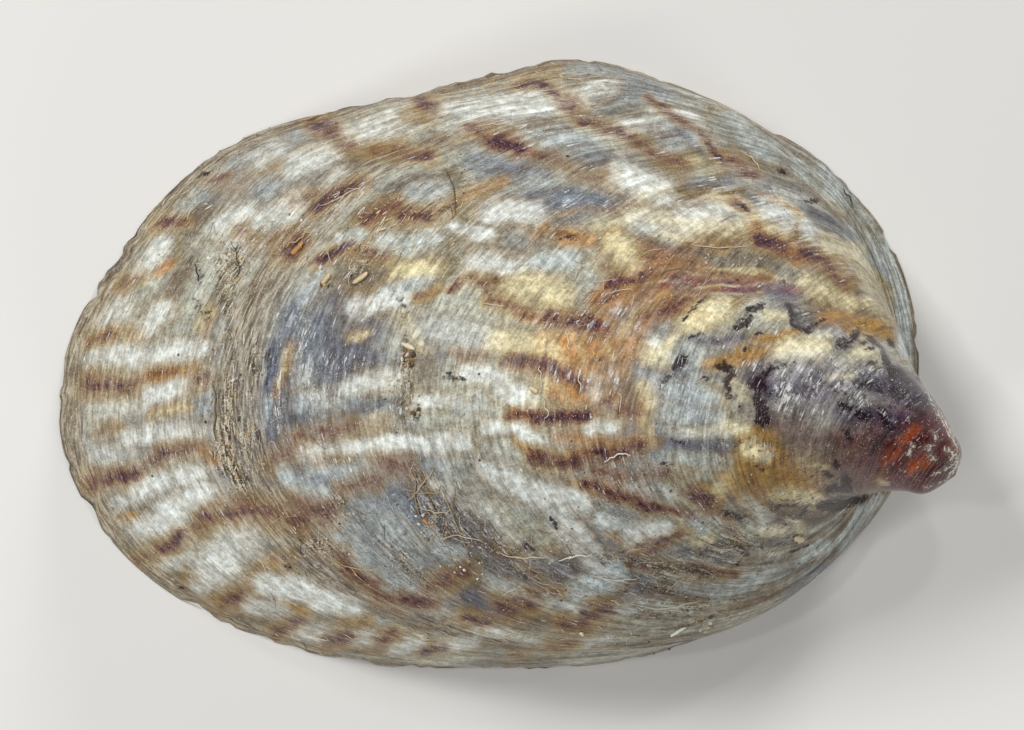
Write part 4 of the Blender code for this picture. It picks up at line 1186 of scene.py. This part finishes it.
# The share of painted glints goes on the points as a number of its own.
give_number(shell.data, "painted_glint_share", join_rows(painted_glint_share[..., None], zero[..., None])[:, 0])
give_number(shell.data, "inside", join_rows(np.zeros_like(painted_glint_share)[..., None], zero[..., None] + 1.0)[:, 0])
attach(shell, "root")
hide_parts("shell")
print("shell faces made:", len(shell.data.polygons))

# %% [markdown]
# ## What sticks to the shell
# A shell from the beach carries grit, threads and broken slivers of its own old edges. Each
# is a small mesh that sits on the surface: a helper finds the point of the surface that shows
# at a place in the picture, with its normal, so a speck lies on the shell from any side. All
# grains are one mesh, and so are all threads, because a thousand objects would be slow.

# %% Points of the surface under places in the picture
outer_spot = seen_from_above(outer)
outer_normals = grid_normals(outer)
FACING = (outer_normals[..., 2] > 0.12) & (hidden_by_beak < 0.5)
seen_points = outer[FACING]
seen_normals = outer_normals[FACING]
seen_spots = outer_spot[FACING]
seen_ways = ring_way[FACING]
spot_tree = KDTree(len(seen_spots))
for number, seen_spot in enumerate(seen_spots.tolist()):
    spot_tree.insert((*seen_spot, 0.0), number)
spot_tree.balance()


def nearest_seen(places):
    """Numbers of the seen points nearest to places in the picture."""
    return [spot_tree.find((*place, 0.0))[1] for place in places.tolist()]


def on_surface(places):
    """Points of the surface, and their normals, under places in the picture."""
    nearest = nearest_seen(places)
    return seen_points[nearest], seen_normals[nearest]


def line_direction(places):
    """Direction of the growth lines in the picture at each place, as an angle."""
    ways = seen_ways[nearest_seen(places)]
    return np.arctan2(ways[:, 1], ways[:, 0])


# %% Sand grains
GRAIN_SIDES = 7
GRAIN_RINGS = 4
GRAIN_LIFT = 0.15
GRAIN_SHARE = 0.78
GRAIN_CLUSTERS = (
    (406, 360, 12, 26, 0.045), (415, 412, 7, 12, 0.040), (398, 384, 9, 10, 0.032), (302, 224, 12, 8, 0.030),
    (326, 282, 10, 10, 0.035), (228, 262, 22, 26, 0.026), (232, 380, 26, 40, 0.022), (236, 460, 24, 30, 0.022),
    (430, 520, 26, 40, 0.026), (470, 560, 30, 34, 0.024), (700, 626, 10, 10, 0.036), (690, 600, 26, 22, 0.022),
    (640, 640, 30, 16, 0.024), (560, 570, 40, 36, 0.020), (700, 262, 40, 34, 0.018), (320, 560, 40, 30, 0.022),
    (160, 270, 18, 10, 0.024), (250, 140, 40, 12, 0.020), (460, 180, 24, 16, 0.020), (720, 520, 34, 30, 0.020),
    (800, 560, 20, 14, 0.020), (360, 240, 30, 20, 0.020), (560, 460, 50, 20, 0.016), (330, 148, 24, 12, 0.022),
    (405, 400, 22, 60, 0.014), (440, 520, 50, 120, 0.013), (236, 400, 60, 90, 0.012), (240, 280, 40, 50, 0.012),
    (520, 570, 60, 70, 0.013), (660, 570, 60, 80, 0.013), (360, 220, 60, 60, 0.012), (760, 530, 50, 60, 0.013),
    (560, 160, 90, 50, 0.011), (700, 270, 60, 50, 0.011), (150, 420, 60, 40, 0.010), (320, 570, 70, 50, 0.012),
)
grain_random = np.random.default_rng(SEED + 1)


def lumpy_balls(centres, sizes, outwards):
    """Low balls: ring r at height cos(pi r / R), radius sin(pi r / R), roughened at each corner."""
    count = len(centres)
    lift = np.pi * np.arange(1, GRAIN_RINGS + 1) / (GRAIN_RINGS + 1)
    turn = 2 * np.pi * np.arange(GRAIN_SIDES) / GRAIN_SIDES
    ring = np.stack([np.outer(np.sin(lift), np.cos(turn)), np.outer(np.sin(lift), np.sin(turn)),
                     np.outer(np.cos(lift), np.ones(GRAIN_SIDES))], axis=-1).reshape(-1, 3)
    ball = np.concatenate([ring, [[0, 0, 1], [0, 0, -1]]])
    rough = ball[None] * grain_random.uniform(0.6, 1.25, (count, len(ball), 1))
    rough *= grain_random.uniform(0.5, 1.35, (count, 1, 3))
    spin = grain_random.normal(size=(count, 3, 3))
    spin = np.linalg.qr(spin)[0]
    spin *= np.sign(np.linalg.det(spin))[:, None, None]
    placed = np.einsum("nij,npj->npi", spin, rough) * sizes[:, None, None]
    points = placed + (centres + outwards * sizes[:, None] * GRAIN_LIFT)[:, None, :]
    row = np.arange(GRAIN_RINGS - 1)[:, None] * GRAIN_SIDES
    side = np.arange(GRAIN_SIDES)[None, :]
    following = (side + 1) % GRAIN_SIDES
    quads = np.stack([row + side, row + GRAIN_SIDES + side, row + GRAIN_SIDES + following, row + following], axis=-1)
    top, bottom = len(ring), len(ring) + 1
    side, following = side[0], following[0]
    low = (GRAIN_RINGS - 1) * GRAIN_SIDES
    caps = [(top, a, b) for a, b in zip(side.tolist(), following.tolist())]
    caps += [(bottom, low + b, low + a) for a, b in zip(side.tolist(), following.tolist())]
    one = quads.reshape(-1, 4).tolist() + caps
    faces = [tuple(corner + start for corner in face) for start in range(0, count * len(ball), len(ball)) for face in one]
    return points.reshape(-1, 3), faces, len(ball)


spots, sizes = [], []
for across, down, reach, count, size in GRAIN_CLUSTERS:
    spots.append(np.array([across, down]) + grain_random.normal(size=(count, 2)) * reach * 0.5)
    sizes.append(GRAIN_SHARE * size * grain_random.uniform(0.4, 1.3, count))
grain_centres, grain_outwards = on_surface(np.concatenate(spots))
grain_points, grain_faces, ball_points = lumpy_balls(grain_centres, np.concatenate(sizes), grain_outwards)
grain_points[:, 2] = np.maximum(grain_points[:, 2], 0.0)
print("sand grains:", len(grain_centres), "faces:", len(grain_faces))


def grain_material():
    """Grit: mostly clear tan to honey, some white and a few black, a random tone for each."""
    net = Network("beach_grit")
    tone = net.stored("tone").outputs["Fac"]
    colours, _ = net.ramp(tone, (
        (0.0, colour(44, 36, 30), 1.0), (0.18, colour(104, 80, 54), 1.0), (0.4, colour(168, 140, 98), 1.0),
        (0.65, colour(206, 190, 156), 1.0), (0.9, colour(240, 238, 228), 1.0)))
    cloudy = net.noise(net.in_millimetres(), 30.0, detail=2.0)
    colours = net.mix(net.maths("MULTIPLY", cloudy, 0.4), colours, solid(colour(120, 96, 64)))
    net.fill(net.shader.inputs["Base Color"], colours)
    net.shader.inputs["Roughness"].default_value = 0.32
    net.shader.inputs["Subsurface Weight"].default_value = 0.15
    net.shader.inputs["Subsurface Scale"].default_value = 0.00005
    return net.material


grains = new_piece("sand_grains", grain_points, grain_faces, grain_material())
give_number(grains.data, "tone", np.repeat(grain_random.uniform(0.0, 1.0, len(grain_centres)), ball_points))
grains.data.shade_flat()
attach(grains, "root")

# %% Threads
THREAD_POINTS = 22
FUZZ_POINTS = 8
THREAD_SIDES = 5
THREADS = (
    (605, 460, 618, 452, 632, 454, 0.010, 0.90), (560, 560, 574, 553, 590, 556, 0.009, 0.95),
    (842, 188, 849, 196, 850, 207, 0.010, 0.02), (410, 500, 426, 480, 434, 470, 0.009, 0.70),
    (430, 470, 452, 500, 470, 560, 0.009, 0.60), (418, 505, 440, 520, 452, 508, 0.008, 0.75),
    (402, 486, 420, 498, 446, 490, 0.008, 0.55), (416, 470, 412, 500, 424, 524, 0.009, 0.50),
    (440, 540, 460, 530, 486, 542, 0.008, 0.70), (396, 512, 416, 530, 430, 552, 0.008, 0.60),
    (196, 264, 198, 274, 200, 284, 0.010, 0.02), (214, 380, 217, 410, 215, 440, 0.012, 0.30),
    (286, 250, 298, 240, 310, 232, 0.012, 0.60), (320, 208, 350, 196, 372, 180, 0.008, 0.75),
    (444, 168, 458, 190, 456, 214, 0.008, 0.20), (500, 552, 520, 560, 548, 556, 0.008, 0.80),
    (640, 604, 668, 612, 700, 600, 0.009, 0.80), (590, 574, 612, 582, 640, 578, 0.007, 0.85),
    (700, 540, 716, 552, 738, 546, 0.007, 0.75), (230, 240, 244, 262, 236, 280, 0.007, 0.15),
    (330, 556, 352, 572, 380, 570, 0.007, 0.65), (690, 244, 716, 250, 744, 246, 0.007, 0.85),
    (604, 296, 616, 290, 634, 290, 0.006, 0.90), (566, 330, 570, 340, 568, 352, 0.007, 0.85),
    (538, 364, 542, 372, 540, 378, 0.006, 0.90), (476, 128, 496, 122, 520, 126, 0.007, 0.80),
    (544, 402, 548, 412, 546, 420, 0.006, 0.90), (578, 372, 582, 384, 578, 394, 0.007, 0.85),
    (618, 412, 621, 404, 620, 394, 0.006, 0.85), (742, 152, 752, 158, 760, 170, 0.008, 0.80),
    (60, 404, 56, 400, 54, 396, 0.004, 0.40), (300, 640, 304, 646, 310, 648, 0.005, 0.50),
)
thread_random = np.random.default_rng(SEED + 2)


def threads_along(table, along_count):
    """Tubes on bent paths: (1-u)^2 start + 2u(1-u) middle + u^2 end, laid on the surface and
    smoothed, with rings of THREAD_SIDES points at radius sin(pi u)^0.3 round the path."""
    share = np.linspace(0.0, 1.0, along_count)
    weights = np.stack([(1 - share)**2, 2 * share * (1 - share), share**2], axis=-1)
    turn = 2 * np.pi * np.arange(THREAD_SIDES) / THREAD_SIDES
    points, tones = [], []
    for x0, y0, x1, y1, x2, y2, radius, tone in table:
        flat = weights @ np.array([(x0, y0), (x1, y1), (x2, y2)], dtype=float)
        flat += np.sin(share * thread_random.uniform(3, 9))[:, None] * thread_random.uniform(-1.0, 1.0, 2) * radius / 0.009
        middle, outward = on_surface(flat)
        for _ in range(3):
            middle[1:-1] = (middle[:-2] + 2 * middle[1:-1] + middle[2:]) / 4
            outward[1:-1] = (outward[:-2] + 2 * outward[1:-1] + outward[2:]) / 4
        outward = outward / length_of(outward)
        middle = middle + outward * (radius * (1.2 + 1.5 * np.sin(share * 9.0 + x0)**2))[:, None]
        along = np.gradient(middle, axis=0)
        along = along / length_of(along)
        across = np.cross(along, outward)
        across = across / length_of(across)
        thickness = radius * np.sin(np.pi * np.clip(share, 0.02, 0.98))**0.3
        ring = (np.cos(turn)[None, :, None] * across[:, None, :] + np.sin(turn)[None, :, None] * outward[:, None, :])
        points.append(middle[:, None, :] + ring * thickness[:, None, None])
        tones.append(np.full(along_count * THREAD_SIDES, tone))
    row = np.arange(along_count - 1)[:, None] * THREAD_SIDES
    side = np.arange(THREAD_SIDES)[None, :]
    following = (side + 1) % THREAD_SIDES
    quads = np.stack([row + side, row + following, row + THREAD_SIDES + following, row + THREAD_SIDES + side], axis=-1)
    last = (along_count - 1) * THREAD_SIDES
    one = quads.reshape(-1, 4).tolist()
    one += [tuple(range(THREAD_SIDES))[::-1], tuple(range(last, last + THREAD_SIDES))]
    each = along_count * THREAD_SIDES
    faces = [tuple(corner + start for corner in face) for start in range(0, each * len(table), each) for face in one]
    return np.concatenate(points).reshape(-1, 3), faces, np.concatenate(tones)


def thread_material():
    """Dull plant and hair threads, from near black through olive and tan to white."""
    net = Network("dull_thread")
    colours, _ = net.ramp(net.stored("tone").outputs["Fac"], (
        (0.0, colour(26, 22, 20), 1.0), (0.3, colour(112, 92, 42), 1.0), (0.6, colour(182, 158, 112), 1.0),
        (1.0, colour(240, 238, 230), 1.0)))
    shade = net.mix(net.noise(net.in_millimetres(), 40.0), (0.75, 0.72, 0.68, 1.0), (1.1, 1.1, 1.1, 1.0))
    net.fill(net.shader.inputs["Base Color"], net.mix(1.0, colours, shade, "MULTIPLY"))
    net.shader.inputs["Roughness"].default_value = 0.6
    return net.material


FUZZ_PLACES = (
    (440, 520, 46, 90), (405, 390, 16, 30), (520, 570, 50, 50), (650, 572, 50, 50), (240, 270, 26, 34),
    (236, 440, 40, 40), (350, 230, 46, 34), (740, 540, 40, 34), (300, 540, 46, 30), (600, 300, 60, 20),
    (500, 140, 70, 24), (690, 600, 36, 24), (200, 230, 30, 14), (450, 200, 14, 14), (700, 250, 50, 16),
)


def scattered_fuzz():
    """Rows for threads_along: short hairs in the dirty places, most of them along the lines."""
    rows = []
    for across, down, reach, count in FUZZ_PLACES:
        starts = np.array([across, down]) + thread_random.normal(size=(count, 2)) * reach * 0.5
        turns = line_direction(starts) + thread_random.normal(size=count) * 0.6
        lengths = thread_random.uniform(7, 24, count)
        bends = thread_random.uniform(-0.4, 0.4, count)
        radii = thread_random.uniform(0.0016, 0.0038, count)
        tones = thread_random.choice((0.12, 0.4, 0.55, 0.7, 0.85, 1.0), count)
        for (sx, sy), turn, reach_px, bend, radius, tone in zip(starts, turns, lengths, bends, radii, tones):
            middle = (sx + 0.5 * reach_px * np.cos(turn + bend), sy + 0.5 * reach_px * np.sin(turn + bend))
            end = (sx + reach_px * np.cos(turn), sy + reach_px * np.sin(turn))
            rows.append((sx, sy, *middle, *end, radius, tone))
    return rows


def thread_mesh_parts():
    long_points, long_faces, long_tones = threads_along(THREADS, THREAD_POINTS)
    fuzz_points, fuzz_faces, fuzz_tones = threads_along(scattered_fuzz(), FUZZ_POINTS)
    moved = [tuple(corner + len(long_points) for corner in face) for face in fuzz_faces]
    return (np.concatenate([long_points, fuzz_points]), long_faces + moved,
            np.concatenate([long_tones, fuzz_tones]))


thread_points, thread_faces, thread_tones = thread_mesh_parts()
thread_points[:, 2] = np.maximum(thread_points[:, 2], 0.0)
fibres = new_piece("dirt_fibres", thread_points, thread_faces, thread_material())
give_number(fibres.data, "tone", thread_tones)
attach(fibres, "root")
print("thread faces:", len(thread_faces))

# %% Broken slivers of old edges
SLIVERS = (
    (291, 257, 306, 242, 4.6, 0.35, 1.0), (320, 287, 332, 277, 4.4, 0.65, 1.0), (354, 286, 369, 272, 4.2, 0.70, 1.0),
    (670, 636, 684, 623, 4.0, 0.98, 1.0), (794, 537, 802, 539, 5.0, 0.75, 0.8), (580, 631, 584, 633, 2.4, 0.90, 0.8),
    (416, 352, 404, 346, 2.5, 0.80, 0.8), (422, 520, 428, 523, 2.5, 0.30, 0.8), (530, 389, 536, 394, 3.4, 0.70, 0.6),
)
SHRED_PLACES = (
    (392, 218, 80, 40, 60), (236, 320, 22, 80, 60), (238, 440, 24, 60, 40), (430, 636, 170, 12, 50),
    (640, 612, 90, 20, 20), (560, 84, 130, 18, 40), (300, 566, 90, 40, 16), (190, 204, 70, 40, 30),
)
SLIVER_THICKNESS = 0.022


def lamella_shreds():
    """Rows for sliver_points: thin shreds of old edge that lie along the growth lines."""
    rows = []
    for across, down, reach_x, reach_y, count in SHRED_PLACES:
        middles = np.array([across, down]) + thread_random.normal(size=(count, 2)) * (reach_x / 2, reach_y / 2)
        turns = line_direction(middles) + thread_random.normal(size=count) * 0.12
        halves = thread_random.uniform(1.5, 6, count)
        ways = np.stack([np.cos(turns), np.sin(turns)], axis=-1) * halves[:, None]
        widths = thread_random.uniform(0.4, 1.0, count)
        tones = thread_random.uniform(0.5, 0.9, count)
        for start, end, width, tone in zip(middles - ways, middles + ways, widths, tones):
            rows.append((*start, *end, width, tone, 0.25))
    return rows


def sliver_points(table):
    """Flat blunt plates: at share u the half width is w * sin(pi u)^0.4, and the plate's cross
    section is a low diamond; one end stands a little off the surface."""
    share = np.linspace(0.04, 0.96, 9)
    points, tones = [], []
    for x0, y0, x1, y1, half_width, tone, lift in table:
        ends, outwards = on_surface(np.array([(x0, y0), (x1, y1)], dtype=float))
        outward = outwards.mean(axis=0)
        outward = outward / np.linalg.norm(outward)
        along = ends[1] - ends[0]
        across = np.cross(outward, along / np.linalg.norm(along))
        middle = ends[0] + share[:, None] * along + outward * lift * (0.015 + 0.04 * share**2)[:, None]
        wide = half_width / PIXELS_PER_MM * np.sin(np.pi * share)[:, None]**0.4
        wide = wide * thread_random.uniform(0.65, 1.2, wide.shape)
        thick = lift * SLIVER_THICKNESS * np.sin(np.pi * share)[:, None]**0.5
        loop = np.stack([middle + across * wide, middle + outward * thick,
                         middle - across * wide, middle - outward * thick], axis=1)
        tips = np.stack([ends[0] + outward * lift * 0.015, ends[1] + outward * lift * 0.055])
        points.append(np.concatenate([loop.reshape(-1, 3), tips]))
        tones.append(np.full(len(points[-1]), tone))
    rows = len(share)
    row = np.arange(rows - 1)[:, None] * 4
    side = np.arange(4)[None, :]
    following = (side + 1) % 4
    quads = np.stack([row + side, row + 4 + side, row + 4 + following, row + following], axis=-1)
    last = (rows - 1) * 4
    one = [tuple(face)[::-1] for face in quads.reshape(-1, 4).tolist()]
    one += [(rows * 4, b, a) for a, b in zip(range(4), (1, 2, 3, 0))]
    one += [(rows * 4 + 1, last + a, last + b) for a, b in zip(range(4), (1, 2, 3, 0))]
    each = rows * 4 + 2
    faces = [tuple(corner + start for corner in face) for start in range(0, each * len(table), each) for face in one]
    return np.concatenate(points), faces, np.concatenate(tones)


def sliver_material():
    """Chalky shell: orange-brown to tan to white, streaked along its length."""
    net = Network("old_shell_chip")
    colours, _ = net.ramp(net.stored("tone").outputs["Fac"], (
        (0.2, colour(184, 112, 50), 1.0), (0.5, colour(196, 160, 104), 1.0), (0.75, colour(222, 206, 170), 1.0),
        (1.0, colour(246, 246, 238), 1.0)))
    streak = net.noise(net.in_millimetres(), 22.0, detail=3.0)
    shade = net.mix(streak, (0.6, 0.55, 0.48, 1.0), (1.25, 1.25, 1.25, 1.0))
    net.fill(net.shader.inputs["Base Color"], net.mix(1.0, colours, shade, "MULTIPLY"))
    net.shader.inputs["Roughness"].default_value = 0.45
    return net.material


chip_points, chip_faces, chip_tones = sliver_points(list(SLIVERS) + lamella_shreds())
chip_points[:, 2] = np.maximum(chip_points[:, 2], 0.0)
chips = new_piece("shell_slivers", chip_points, chip_faces, sliver_material())
give_number(chips.data, "tone", chip_tones)
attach(chips, "root")
print("sliver faces:", len(chip_faces))

# %% [markdown]
# ## The table and the light
# A plain pale floor lies just under the rim. The light is that of a small photo table: one
# broad soft lamp high on the upper left, three weaker ones around, and three small sparks
# whose reflections break up along the growth lines into fine glints. The room itself gives little light, so dark pigment
# stays dark.

# %% Floor, world and lamps
FLOOR_HALF_MM = 300.0
FLOOR_DROP_MM = 0.02
FLOOR_COLOUR = colour(222, 220, 216)
floor_net = Network("pale_table")
floor_net.shader.inputs["Base Color"].default_value = solid(FLOOR_COLOUR)
floor_net.shader.inputs["Roughness"].default_value = 0.9
floor_corners = FLOOR_HALF_MM * np.array([(-1, -1, 0), (1, -1, 0), (1, 1, 0), (-1, 1, 0)], dtype=float)
floor_corners[:, 2] = -FLOOR_DROP_MM
floor = new_piece("table_top", floor_corners, [(0, 1, 2, 3)], floor_net.material)

scene = bpy.context.scene
world = bpy.data.worlds.new("soft_room")
world.use_nodes = True
world.node_tree.nodes["Background"].inputs["Color"].default_value = solid(colour(214, 216, 220))
world.node_tree.nodes["Background"].inputs["Strength"].default_value = 0.14
scene.world = world
scene.view_settings.view_transform = "Standard"

LAMPS = (
    ("key", (-70.0, 66.0, 108.0), 40.0, 40.0, 0.124),
    ("spark_right", (84.0, 12.0, 96.0), 9.0, 9.0, 0.018),
    ("spark_left", (-58.0, 10.0, 118.0), 9.0, 9.0, 0.014),
    ("spark_top", (14.0, 76.0, 112.0), 9.0, 9.0, 0.014),
    ("right_top", (70.0, 100.0, 60.0), 26.0, 26.0, 0.060),
    ("left_low", (-95.0, -70.0, 55.0), 26.0, 26.0, 0.056),
    ("right_low", (80.0, -90.0, 55.0), 44.0, 44.0, 0.028),
)


def add_lamp(name, place, long_side, short_side, watts):
    """A rectangular lamp, in millimetres, turned to face the middle of the shell."""
    lamp_data = bpy.data.lights.new(name, "AREA")
    lamp_data.shape = "RECTANGLE"
    lamp_data.size = long_side * MM
    lamp_data.size_y = short_side * MM
    lamp_data.energy = watts
    lamp = bpy.data.objects.new(name, lamp_data)
    scene.collection.objects.link(lamp)
    lamp.location = Vector(place) * MM
    lamp.rotation_euler = Vector(place).to_track_quat("Z", "Y").to_euler()


for lamp_settings in LAMPS:
    add_lamp(*lamp_settings)
print("lamps:", len(LAMPS))
